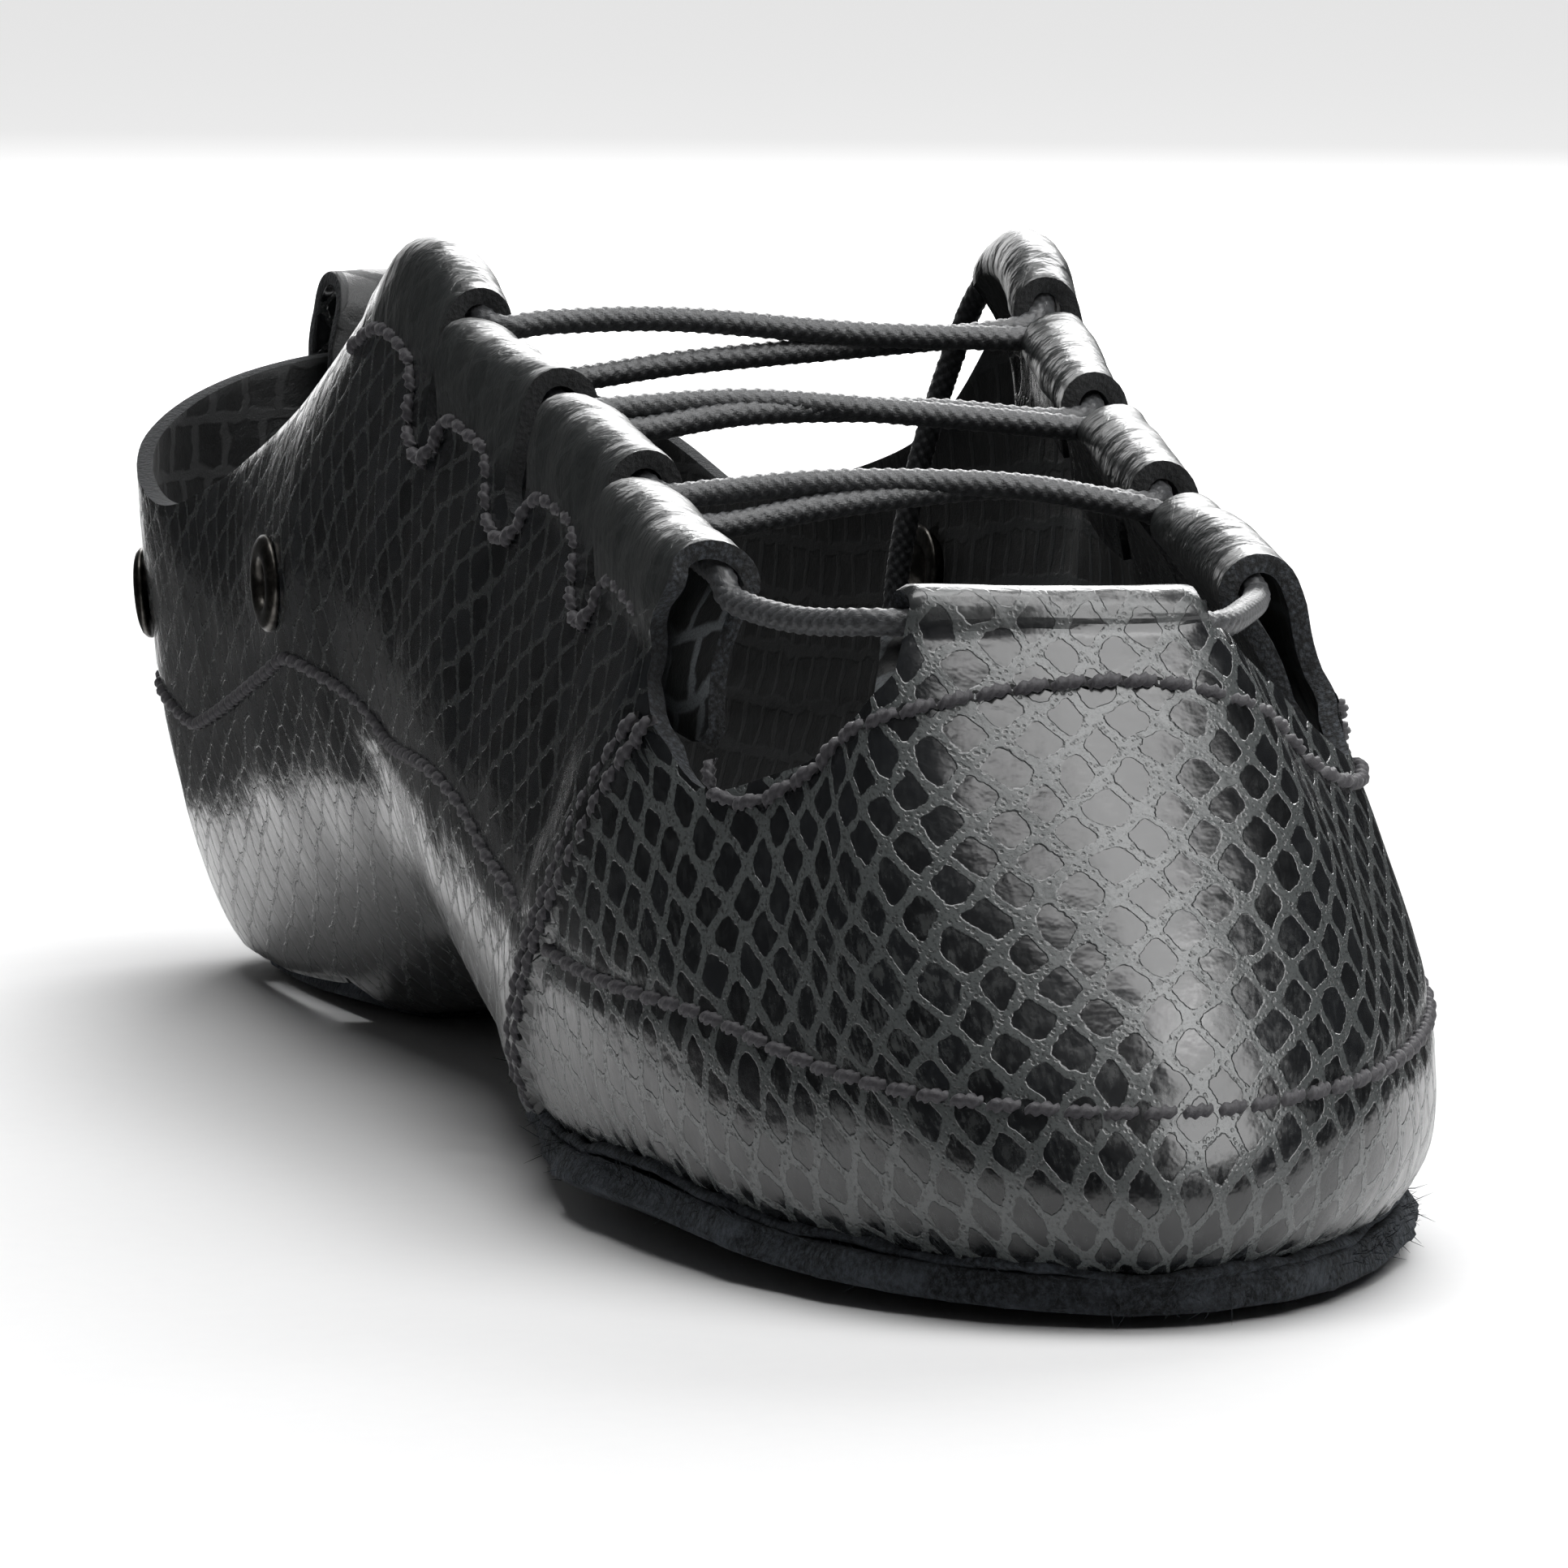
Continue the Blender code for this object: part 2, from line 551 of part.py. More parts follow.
def make_heel_tab(shell, material):
    """The folded pull loop that straddles the collar at the centre back."""
    levels = np.array([[TAB_FOOT, 54.0, 57.0]])
    back = shell.at_heights(np.array([0.0]), levels)[0]
    half = 0.5 * TAB_WIDTH
    across = np.linspace(-half, half, 5)
    outer = -(SEAT_GAP + 0.35 + TAB_LEATHER)
    inner = WALL + SEAT_GAP + 0.75 + TAB_LEATHER
    middle = 0.5 * (outer + inner)
    radius = 0.5 * (inner - outer)
    path = [(s + outer, z) for s, z in back[:, 1:]]
    base = back[-1, 1]
    arc_z = TAB_TOP - radius
    for step in range(9):
        angle = pi - pi * step / 8
        path.append((base + middle + radius * cos(angle), arc_z + radius * sin(angle)))
    path += [(s + inner, z) for s, z in back[::-1, 1:]]
    points = np.array([[(x, s + 0.018 * x * x, z) for s, z in path] for x in across])
    width = points.shape[1]
    faces = []
    for column in range(len(across) - 1):
        for level in range(width - 1):
            a = column * width + level
            b = a + width
            faces.append((a, a + 1, b + 1, b))
    item = make_object("heel_tab", to_frame(points.reshape(-1, 3)), faces, material)
    add_solidify(item, TAB_LEATHER * MM, -1.0)
    return item


def tube(name, path, material, sides=8):
    """A closed round tube of the lace's diameter along a path in millimetres."""
    path = np.asarray(path, float)
    heading = np.gradient(path, axis=0)
    heading /= np.linalg.norm(heading, axis=1)[:, None]
    flat = np.cross(heading, [0.0, 0.0, 1.0])
    flat /= np.linalg.norm(flat, axis=1)[:, None]
    high = np.cross(flat, heading)
    angles = 2.0 * pi * np.arange(sides) / sides
    spokes = flat[:, None] * np.cos(angles)[None, :, None] + high[:, None] * np.sin(angles)[None, :, None]
    vertices = (path[:, None] + 0.5 * LACE_DIAMETER * spokes).reshape(-1, 3)
    faces = []
    for ring in range(len(path) - 1):
        for side in range(sides):
            after = (side + 1) % sides
            faces.append((ring * sides + side, ring * sides + after,
                          (ring + 1) * sides + after, (ring + 1) * sides + side))
    faces.append(tuple(range(sides))[::-1])
    faces.append(tuple((len(path) - 1) * sides + side for side in range(sides)))
    item = make_object(name, to_frame(vertices), faces, material)
    point_outwards(item)
    return item


def crest_middle(shell, s, side):
    """Middle of a loop's tunnel at s along the shoe."""
    row = shell.rows(np.array([shell.place_at(s, side)]))[0]
    return np.array([row[3] - side * FOLD_RADIUS, s, row[5]])


def strand(start, end, arch, steps=9):
    """A bar of lace between two tunnels, arched upwards, kept off the leather at both ends."""
    share = np.linspace(0.0, 1.0, steps)[:, None]
    path = start + (end - start) * share
    path[:, 2] += arch * np.sin(pi * share[:, 0]) ** 0.8
    return path


def make_crossings(shell, material):
    """A joined cross of two bars in each slot between the loops."""
    items = []
    for number in range(len(LOOPS) - 1):
        rear = LOOPS[number][1] + LACE_CLEARANCE
        front = LOOPS[number + 1][0] - LACE_CLEARANCE
        ends = {}
        for side in (-1, 1):
            for label, s in (("rear", rear), ("front", front)):
                ends[side, label] = crest_middle(shell, s, side)
        over = tube("lace_crossing_%d" % (number + 1),
                    strand(ends[-1, "rear"], ends[1, "front"], CROSSING_ARCHES[0]), material)
        under = tube("lace_crossing_%d_other" % (number + 1),
                     strand(ends[-1, "front"], ends[1, "rear"], CROSSING_ARCHES[1]), material)
        under.hide_render = True
        under.display_type = "WIRE"
        modifier = over.modifiers.new("joined", "BOOLEAN")
        modifier.operation = "UNION"
        modifier.solver = "EXACT"
        modifier.object = under
        items.append(over)
    return items


def make_front_bars(shell, material):
    """The bars from the front loops to the tunnel over the toe."""
    items = []
    for side, name, corner in ((-1, "lace_bar_inner", "inner strap end"),
                               (1, "lace_bar_outer", "outer strap end")):
        start = crest_middle(shell, LOOPS[-1][1] + 1.4, side)
        row = shell.rows(np.array([shell.knot(corner)]))[0]
        end = np.array([row[3] + side * 1.6, row[4] - 2.6, row[5] - 1.3])
        bend = 0.5 * (start + end) + np.array([side * 1.2, 0.6, 0.4])
        t = np.linspace(0.0, 1.0, 8)[:, None]
        path = (1 - t) ** 2 * start + 2 * t * (1 - t) * bend + t ** 2 * end
        items.append(tube(name, path, material))
    return items


def smooth_route(route, spacing):
    """A Catmull-Rom curve through the route's points, read at equal spacing."""
    route = np.asarray(route, float)
    padded = np.vstack([2 * route[0] - route[1], route, 2 * route[-1] - route[-2]])
    fine = []
    for a, b, c, d in zip(padded[:-3], padded[1:-2], padded[2:-1], padded[3:]):
        for t in np.linspace(0.0, 1.0, 12, endpoint=False):
            fine.append(0.5 * (2 * b + (c - a) * t + (2 * a - 5 * b + 4 * c - d) * t ** 2
                               + (3 * b - a - 3 * c + d) * t ** 3))
    fine.append(route[-1])
    fine = np.array(fine)
    length = np.concatenate([[0.0], np.cumsum(np.linalg.norm(np.diff(fine, axis=0), axis=1))])
    count = int(round(length[-1] / spacing)) + 1
    marks = np.linspace(0.0, length[-1], count)
    return np.stack([np.interp(marks, length, fine[:, axis]) for axis in range(3)], -1)


def make_lace_end(material):
    """The free end of the lace that hangs inside the shoe on the outer side."""
    points = to_frame(smooth_route(LACE_END_ROUTE, 4.0))
    curve = bpy.data.curves.new("lace_end_outer", "CURVE")
    curve.dimensions = "3D"
    curve.bevel_depth = 0.5 * LACE_DIAMETER * MM
    curve.bevel_resolution = 2
    curve.use_fill_caps = True
    spline = curve.splines.new("POLY")
    spline.points.add(len(points) - 1)
    for target, point in zip(spline.points, points):
        target.co = (*point, 1.0)
    curve.materials.append(material)
    item = bpy.data.objects.new("lace_end_outer", curve)
    bpy.context.scene.collection.objects.link(item)
    return item


def main():
    """Build every piece of the shoe."""
    clear_scene()
    leather = make_material("black print leather", (0.02, 0.02, 0.022), 0.35)
    suede = make_material("black suede", (0.025, 0.025, 0.026), 0.95)
    board = make_material("insole leather", (0.05, 0.05, 0.052), 0.7)
    cord = make_material("waxed lace", (0.02, 0.02, 0.02), 0.5)
    metal = make_material("dark eyelet metal", (0.08, 0.08, 0.08), 0.3, 1.0)
    shell = Shell()
    make_upper(shell, leather)
    make_insole(shell, board)
    make_forefoot_sole(shell, suede)
    make_heel_sole(shell, suede)
    make_heel_tab(shell, leather)
    for name, side, s, height in EYELETS:
        make_eyelet(shell, name, side, s, height, metal)
    make_crossings(shell, cord)
    make_front_bars(shell, cord)
    make_lace_end(cord)


main()
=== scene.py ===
"""Looks of a ghillie dance shoe: print leather, stitching, braided lace, suede pads and studio."""

import functools
import itertools
import math

import bmesh
import bpy
import numpy as np
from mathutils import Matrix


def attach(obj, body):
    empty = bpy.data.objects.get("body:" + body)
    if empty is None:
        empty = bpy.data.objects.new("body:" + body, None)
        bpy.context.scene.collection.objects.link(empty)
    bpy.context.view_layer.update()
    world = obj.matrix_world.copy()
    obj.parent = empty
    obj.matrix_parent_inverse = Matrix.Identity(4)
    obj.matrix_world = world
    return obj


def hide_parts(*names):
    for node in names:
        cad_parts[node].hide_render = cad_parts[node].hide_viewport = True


bl_info = {
    "name": "Ghillie Dance Shoe Looks",
    "version": (1, 0, 0),
    "blender": (4, 5, 0),
    "location": "View3D > Sidebar > Shoe",
    "description": "Builds the leather, lace, stitching and soles of a ghillie dance shoe",
    "category": "Object",
}

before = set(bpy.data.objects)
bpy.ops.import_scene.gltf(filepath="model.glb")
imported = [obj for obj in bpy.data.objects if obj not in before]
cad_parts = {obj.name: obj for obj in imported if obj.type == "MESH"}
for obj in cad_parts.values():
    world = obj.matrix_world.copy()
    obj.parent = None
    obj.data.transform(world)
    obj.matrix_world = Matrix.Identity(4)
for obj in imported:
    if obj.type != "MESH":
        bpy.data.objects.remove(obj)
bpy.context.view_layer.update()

# The tables give lengths in millimetres as (x, s, z), with s counted from the back of the heel
# to the toe. In the row frame y = (HEEL_REST - s), and all is turned to metres by to_frame.
MM = 0.001
HEEL_REST = 35.0

# Upper: a row for each section round the shoe, from the centre back along the inner side to the
# toe and home along the outer side. Foot and crest of the wall, belly, shoulder, foot of the loops.
SECTIONS = (
    ("heel back",            0.0,   7.0,  2.6,   0.0,   2.5, 57.0,  8.0,  2.0, 49.0),
    ("inner heel back",     -9.3,   9.5,  2.6, -14.4,   6.0, 54.9,  7.5,  2.0, 47.0),
    ("inner heel corner",  -15.8,  16.3,  2.6, -24.9,  15.4, 50.4,  5.6,  0.6, 42.5),
    ("inner heel side",    -18.2,  28.0,  2.8, -28.4,  30.5, 45.6,  4.8, -1.4, 38.0),
    ("inner collar",       -18.2,  48.0,  3.2, -27.6,  50.0, 47.6,  4.5,  1.8, 40.0),
    ("inner rear waist",   -16.5,  72.0,  6.0, -26.3,  73.0, 54.3,  6.5,  6.5, 46.5),
    ("inner waist",        -15.5,  92.0,  9.8, -25.2,  92.0, 62.8,  9.5,  8.5, 55.5),
    ("inner loop 1",       -16.8, 107.0, 10.6, -24.0, 107.0, 70.6, 10.5,  8.0, 63.8),
    ("inner loop 2",       -20.4, 127.0,  9.8, -24.3, 127.0, 66.2, 10.8,  6.5, 60.0),
    ("inner loop 3",       -24.6, 150.0,  7.0, -23.6, 149.5, 61.3,  8.2,  5.8, 55.2),
    ("inner loop 4",       -27.6, 175.0,  5.8, -23.8, 174.0, 56.2,  6.6,  5.2, 50.0),
    ("inner ball",         -27.0, 195.0,  6.4, -24.6, 194.5, 51.9,  6.7,  4.0, 45.0),
    ("inner gap rear",     -25.8, 204.0,  5.9, -22.8, 200.2, 50.9,  6.6,  4.0, 37.0),
    ("inner gap front",    -23.4, 214.0,  5.1, -18.2, 205.6, 50.6,  7.0,  5.0, 38.4),
    ("inner toe corner",   -19.0, 224.5,  4.5, -14.9, 210.3, 50.5,  8.0,  7.0, 42.2),
    ("inner strap end",    -13.4, 233.2,  4.2, -12.8, 214.0, 50.4, 10.0,  9.0, 46.0),
    ("inner strap",         -8.0, 238.0,  4.0,  -7.2, 215.3, 50.3, 11.5, 10.0, 46.0),
    ("toe tip",             -2.0, 240.3,  3.9,  -1.2, 215.7, 50.2, 12.0, 10.0, 45.8),
    ("outer strap",          4.2, 238.8,  4.0,   4.8, 215.3, 49.9, 11.7, 10.0, 45.4),
    ("outer strap end",     10.6, 234.6,  3.9,  10.4, 214.0, 49.5, 11.6,  9.0, 45.4),
    ("outer toe corner",    18.6, 225.6,  4.0,  13.0, 210.3, 49.4, 11.2,  7.6, 43.0),
    ("outer gap front",     24.9, 214.8,  4.5,  17.2, 205.6, 49.3, 10.4,  6.4, 38.8),
    ("outer gap rear",      28.3, 204.6,  5.0,  22.0, 200.2, 49.4,  9.4,  5.8, 37.0),
    ("outer ball",          29.4, 195.0,  5.4,  24.0, 194.5, 50.0,  8.4,  5.6, 44.0),
    ("outer loop 4",        29.2, 175.0,  5.7,  24.7, 174.0, 54.6,  7.6,  5.2, 48.6),
    ("outer loop 3",        27.8, 150.0,  7.7,  26.9, 149.5, 60.0,  7.2,  4.8, 54.0),
    ("outer loop 2",        25.8, 127.0, 10.0,  30.0, 127.0, 66.0,  7.0,  5.0, 59.8),
    ("outer loop 1",        24.6, 107.0,  9.0,  33.0, 107.0, 70.0,  6.5,  5.0, 63.2),
    ("outer waist",         23.2,  92.0,  7.6,  32.4,  92.0, 59.2,  6.0,  4.5, 52.4),
    ("outer rear waist",    21.4,  72.0,  4.9,  30.8,  73.0, 51.2,  5.0,  4.0, 43.5),
    ("outer collar",        20.0,  48.0,  3.2,  29.4,  50.0, 47.0,  4.5,  2.0, 39.0),
    ("outer heel side",     18.8,  28.0,  2.8,  28.4,  30.5, 45.6,  4.8, -1.4, 38.0),
    ("outer heel corner",   16.0,  16.3,  2.6,  24.9,  15.4, 50.4,  5.6,  0.6, 42.5),
    ("outer heel back",      9.3,   9.5,  2.6,  14.4,   6.0, 54.9,  7.5,  2.0, 47.0),
)
INNER, OUTER = -1, 1
STRAP_ENDS = {INNER: "inner strap end", OUTER: "outer strap end"}
LOOPS = ((105.5, 123.9), (128.9, 147.0), (151.9, 170.9), (176.9, 195.5))
FLAP_GAP = 3.5
FLAP_DEPTH = 15.0
SLOT_RADIUS = 2.3
LOW_LIFT = 0.15
HIGH_DROP = 0.33
WALL_TABLE = 49
TOE_AXIS = 243.0
TOE_RADIUS = 118.0

# Grid of the upper: columns in each kind of stretch, and rows from the underside to the flap
COLUMNS = {"wall": 84, "loop": 24, "slot": 8, "gap": 30, "strap": 26}
PANEL_ROWS = 34
YOKE_ROWS = 7
CURL_ROWS = 12
FLAP_ROWS = 9
UNDER_ROWS = 9

# Underside: height along the middle of the foot, and the middle line itself
UNDERSIDE = (
    (0.0, 2.1), (60.0, 2.1), (72.0, 3.9), (92.0, 8.0), (107.0, 9.3), (127.0, 8.9),
    (138.0, 7.2), (150.0, 4.8), (160.0, 3.3), (167.0, 2.9), (226.0, 2.9), (241.0, 3.7),
)
MIDDLE_LINE = ((30.0, 0.0), (92.0, 3.6), (127.0, 2.4), (175.0, 0.5), (205.0, 1.5))
SPINE_ENDS = (30.0, 205.0)
FLAT_SHARE = 0.62
SEAT_GAP = 0.3
WAIST = (60.0, 133.5)
WAIST_BLEND = 3.0
TUCK = 0.7
HEEL_TUCK = 2.6
WAIST_DROP = 1.6

# Pads and insole
PAD_THICKNESS = 2.6
PAD_RIM = 1.2
PAD_REAR = 131.5
HEEL_PAD_THICKNESS = 1.8
HEEL_PAD_FRONT = 62.0
HEEL_PAD_INSET = 3.2
INSOLE_THICKNESS = 1.4
INSOLE_INSET = 2.1

# Eyelets: node, side of the foot, place along the crest, height of the middle
EYELETS = (
    ("eyelet_inner_quarter", INNER, 78.5, 41.5),
    ("eyelet_inner_heel", INNER, 17.0, 35.5),
    ("eyelet_outer_quarter", OUTER, 82.0, 41.5),
    ("eyelet_outer_heel", OUTER, 17.0, 35.5),
)

EYELET_HOLE = 3.2
ROD_REACH = 4.0
ROD_SIDES = 32

# Pull loop at the centre back
TAB_WIDTH = 9.0
TAB_LEATHER = 1.3
TAB_TOP = 63.4
TAB_FOOT = 50.5

# Lace: length of one yarn crossing, spacing of its rings, and its tip's sleeve
BRAID_PITCH = 1.15
RING_STEP = 0.165
TIP_LENGTH = 9.0
TIP_SIDES = 24

# The outer lace end: out of the rear of loop 1 and down inside the shoe onto the insole
LACE_END_ROUTE = (
    (30.0, 104.3, 68.8), (29.8, 101.4, 68.0), (29.3, 99.2, 65.9), (28.5, 97.8, 62.8),
    (27.5, 96.8, 59.2), (26.5, 96.1, 55.4), (25.5, 95.6, 51.5), (24.6, 95.3, 47.0),
    (23.9, 95.1, 42.5), (23.5, 95.0, 38.0), (23.2, 95.0, 33.0), (22.8, 95.1, 28.0),
    (22.0, 95.3, 23.5), (20.6, 95.7, 19.0), (18.5, 96.4, 15.4), (15.9, 97.4, 13.2),
    (12.9, 98.8, 12.4), (9.6, 100.6, 12.3),
)
# Each strand over the throat: its inner and outer end along the shoe, and how far it lies above
# the straight line between them at STRAND_SHARES of its way
STRAND_SHARES = (0.03, 0.12, 0.34, 0.66, 0.88, 0.97)
STRANDS = {
    (1, "over"): (125.4, 128.0, 0.1, 0.7, 1.1, 0.2, 0.1, 0.0),
    (1, "under"): (127.6, 125.2, -2.4, -3.2, -2.2, -1.5, -1.0, -0.4),
    (2, "over"): (148.4, 151.2, 0.0, 0.4, 1.3, 0.8, 0.3, 0.0),
    (2, "under"): (150.6, 148.2, -0.6, -0.7, 0.6, 0.5, -0.4, -0.3),
    (3, "over"): (172.4, 175.2, -0.2, 0.3, 1.5, 1.9, 0.9, 0.1),
    (3, "under"): (175.0, 172.4, -1.2, -1.5, 0.0, 1.3, 0.1, -0.2),
}

# The strands to the toe strap: how far their start and middle sag
TUNNEL_SAG = -0.5
BAR_SAG = {INNER: (-1.3, -1.2), OUTER: (-0.4, 0.0)}

# Stitch lines as (x, s, z), x only telling the side where the line isn't over the toe
FOXING = (
    (0.0, 2.0, 29.5), (-12.0, 6.0, 29.5), (-25.0, 22.0, 26.7), (-25.0, 35.0, 25.0),
    (-25.0, 43.0, 26.0), (-25.0, 58.0, 29.4), (-25.0, 74.0, 33.3), (-25.0, 83.0, 35.2),
    (-25.0, 102.0, 33.4), (-25.0, 114.0, 31.0), (-25.0, 133.0, 31.0), (-25.0, 145.0, 29.3),
    (-25.0, 155.0, 26.0), (-25.0, 163.0, 24.4), (-25.0, 175.0, 21.4), (-25.0, 194.0, 20.4),
    (-25.0, 207.0, 19.8), (-22.0, 222.0, 17.5), (-15.0, 233.0, 16.5), (-1.0, 241.0, 15.8),
    (12.0, 236.0, 16.4), (22.0, 226.0, 17.0), (25.0, 216.0, 17.5), (25.0, 206.0, 18.5),
    (25.0, 197.0, 20.7), (25.0, 186.0, 23.0), (25.0, 176.0, 24.0), (25.0, 167.0, 25.1),
    (25.0, 152.0, 28.9), (25.0, 136.0, 32.8), (25.0, 127.0, 35.0), (25.0, 114.0, 37.0),
    (25.0, 101.0, 35.3), (25.0, 92.0, 33.3), (25.0, 74.0, 30.0), (25.0, 55.0, 27.6),
    (25.0, 35.0, 26.0), (25.0, 20.0, 27.5), (12.0, 6.0, 29.5),
)
STRAP_LINE = (
    (-31.0, 203.0, 38.4), (-31.0, 205.6, 37.2), (-27.7, 206.2, 35.5), (-23.0, 208.0, 35.4),
    (-20.0, 210.0, 37.0), (-16.9, 212.0, 38.8), (-14.3, 213.6, 41.0), (-12.0, 215.6, 43.4),
    (-6.0, 217.6, 44.6), (0.0, 218.0, 45.0), (6.0, 217.6, 44.6), (10.5, 215.8, 43.0),
    (14.0, 213.4, 40.6), (18.0, 210.6, 37.4), (23.0, 207.4, 35.6), (28.0, 203.4, 35.2),
    (31.0, 199.0, 36.0),
)
SIDE_SEAM = (
    (196.9, 40.6), (190.4, 34.2), (184.4, 27.8), (178.6, 22.7), (172.6, 16.8), (167.4, 11.7),
    (163.0, 6.5),
)
# The seam's two rows of stitches lie behind its edge by these lengths
SEAM_ROWS = (1.3, 3.9)
# How far each kind of line lifts its thread off the leather
STITCH_LIFT = {"foxing": 0.05, "strap": 0.28, "scallops": 0.3, "seam": 0.7}
# The toe box in front of the side seam: rear end, top, and its top beside loop 4 up to a place
TOE_BOX = (150.0, 56.0, 41.0, 196.5)
# Line that holds the loops' flaps, as (s, distance under the crest)
SCALLOPS = (
    (98.6, -3.8), (108.0, -5.4), (119.0, -6.2), (120.6, -9.6), (123.2, -11.2), (126.6, -11.0),
    (129.2, -8.2), (130.6, -5.8), (136.0, -5.4), (142.0, -5.6), (143.6, -8.8), (146.6, -10.8),
    (150.8, -10.3), (153.2, -7.6), (154.6, -5.8), (160.0, -5.2), (166.0, -5.2), (168.0, -8.4),
    (170.6, -10.6), (174.0, -10.2), (176.4, -7.0), (178.0, -5.4), (184.0, -5.0), (188.4, -5.2),
)

# Loops swell towards their front ends, like rolls tucked one behind the other: crest s, swell
LOOP_SWELL = (
    (98.0, 0.0), (105.5, 0.5), (115.0, 0.7), (123.9, 0.1), (128.9, 1.3), (138.0, 0.9),
    (147.0, 0.2), (151.9, 0.9), (161.0, 0.9), (170.9, 0.1), (176.9, 1.3), (186.0, 1.1),
    (195.5, 1.8), (200.0, 0.4), (206.0, 0.0),
)
OUTER_SWELL = 0.45
# Height of each roll's top against an even one: low at its rear end
LOOP_LIFT = (
    (105.5, 0.0), (114.0, 0.2), (123.9, 0.3), (128.9, -0.7), (134.0, -0.2), (147.0, 0.3),
    (151.9, -0.7), (157.0, -0.2), (170.9, 0.3), (176.9, -0.7), (182.0, -0.2), (195.5, 0.3),
    (200.0, 0.0),
)
SWELL_DEPTH = (7.5, 1.5)
# The gap's border against an even one: crest s, rise
GAP_RISE = {
    INNER: ((200.0, 0.0), (204.0, -0.6), (208.0, -1.6), (212.0, -1.6), (213.6, -0.8),
            (214.6, 0.8), (215.6, 2.0), (217.0, 1.0), (219.0, 0.0)),
    OUTER: ((197.0, 0.0), (201.0, 0.4), (205.0, 1.8), (209.0, 3.0), (212.0, 3.3),
            (214.0, 2.9), (216.5, 1.5), (219.0, 0.0)),
}
# The cut edges' shift along the shoe: crest s, shift at the crest, shift low down
EDGE_SHIFT = (
    (105.5, 0.0, 0.0), (116.0, 0.0, 0.0), (123.9, 0.3, 0.3), (128.9, -2.3, -1.6),
    (136.0, 0.0, 0.0), (142.0, 0.0, 0.0), (147.0, -0.3, 0.0), (151.9, 0.5, 0.3),
    (156.0, 0.0, 0.0), (166.0, 0.0, 0.0), (170.9, 0.4, 0.4), (176.9, -3.0, -2.2),
    (186.0, 0.0, 0.0), (190.0, 0.0, -1.0), (195.5, 0.0, -4.2), (200.0, 0.0, -2.6),
    (207.0, 0.0, 0.0),
)

# Soft troughs and ridges in the leather: side, first and last point (s, z), half width, depth
CREASES = (
    (INNER, 126.0, 56.0, 121.0, 42.0, 3.0, -0.35), (INNER, 149.4, 50.0, 146.0, 36.0, 3.0, -0.40),
    (INNER, 173.8, 45.0, 171.0, 32.0, 2.8, -0.40), (INNER, 116.0, 52.0, 108.0, 38.0, 4.0, 0.25),
    (INNER, 139.0, 48.0, 133.0, 35.0, 4.0, 0.25), (INNER, 162.0, 44.0, 157.0, 32.0, 4.0, 0.25),
    (INNER, 185.0, 40.0, 183.0, 28.0, 4.0, 0.20), (INNER, 96.0, 30.0, 118.0, 22.0, 3.5, -0.30),
    (INNER, 88.0, 20.0, 104.0, 36.0, 4.0, 0.25), (INNER, 60.0, 44.0, 80.0, 30.0, 5.0, -0.25),
    (OUTER, 126.0, 56.0, 121.0, 42.0, 3.0, -0.35), (OUTER, 149.4, 50.0, 146.0, 36.0, 3.0, -0.40),
    (OUTER, 173.8, 45.0, 171.0, 32.0, 2.8, -0.40), (OUTER, 116.0, 52.0, 108.0, 38.0, 4.0, 0.25),
    (OUTER, 139.0, 48.0, 133.0, 35.0, 4.0, 0.25), (OUTER, 162.0, 44.0, 157.0, 32.0, 4.0, 0.25),
    (OUTER, 60.0, 44.0, 80.0, 30.0, 5.0, -0.25), (OUTER, 96.0, 30.0, 118.0, 22.0, 3.5, -0.30),
)


# Settings

class ShoeSizes(bpy.types.PropertyGroup):
    """Sizes that a user would change, in metres."""

    leather: bpy.props.FloatProperty(
        name="Leather", description="Thickness of the upper's leather",
        default=0.0015, min=0.0008, max=0.0025, unit="LENGTH")
    fold_radius: bpy.props.FloatProperty(
        name="Loop radius", description="Outer radius of the folded lace loops",
        default=0.0029, min=0.002, max=0.004, unit="LENGTH")
    cell_width: bpy.props.FloatProperty(
        name="Cell width", description="Width of one cell of the net print",
        default=0.00435, min=0.002, max=0.01, unit="LENGTH")
    cell_height: bpy.props.FloatProperty(
        name="Cell height", description="Height of one cell of the net print",
        default=0.00525, min=0.002, max=0.01, unit="LENGTH")
    thread: bpy.props.FloatProperty(
        name="Thread", description="Diameter of the sewing thread",
        default=0.00098, min=0.0004, max=0.0015, unit="LENGTH")
    stitch: bpy.props.FloatProperty(
        name="Stitch", description="Length of one stitch",
        default=0.0029, min=0.0015, max=0.006, unit="LENGTH")
    lace: bpy.props.FloatProperty(
        name="Lace", description="Diameter of the round lace",
        default=0.0022, min=0.0015, max=0.0028, unit="LENGTH")


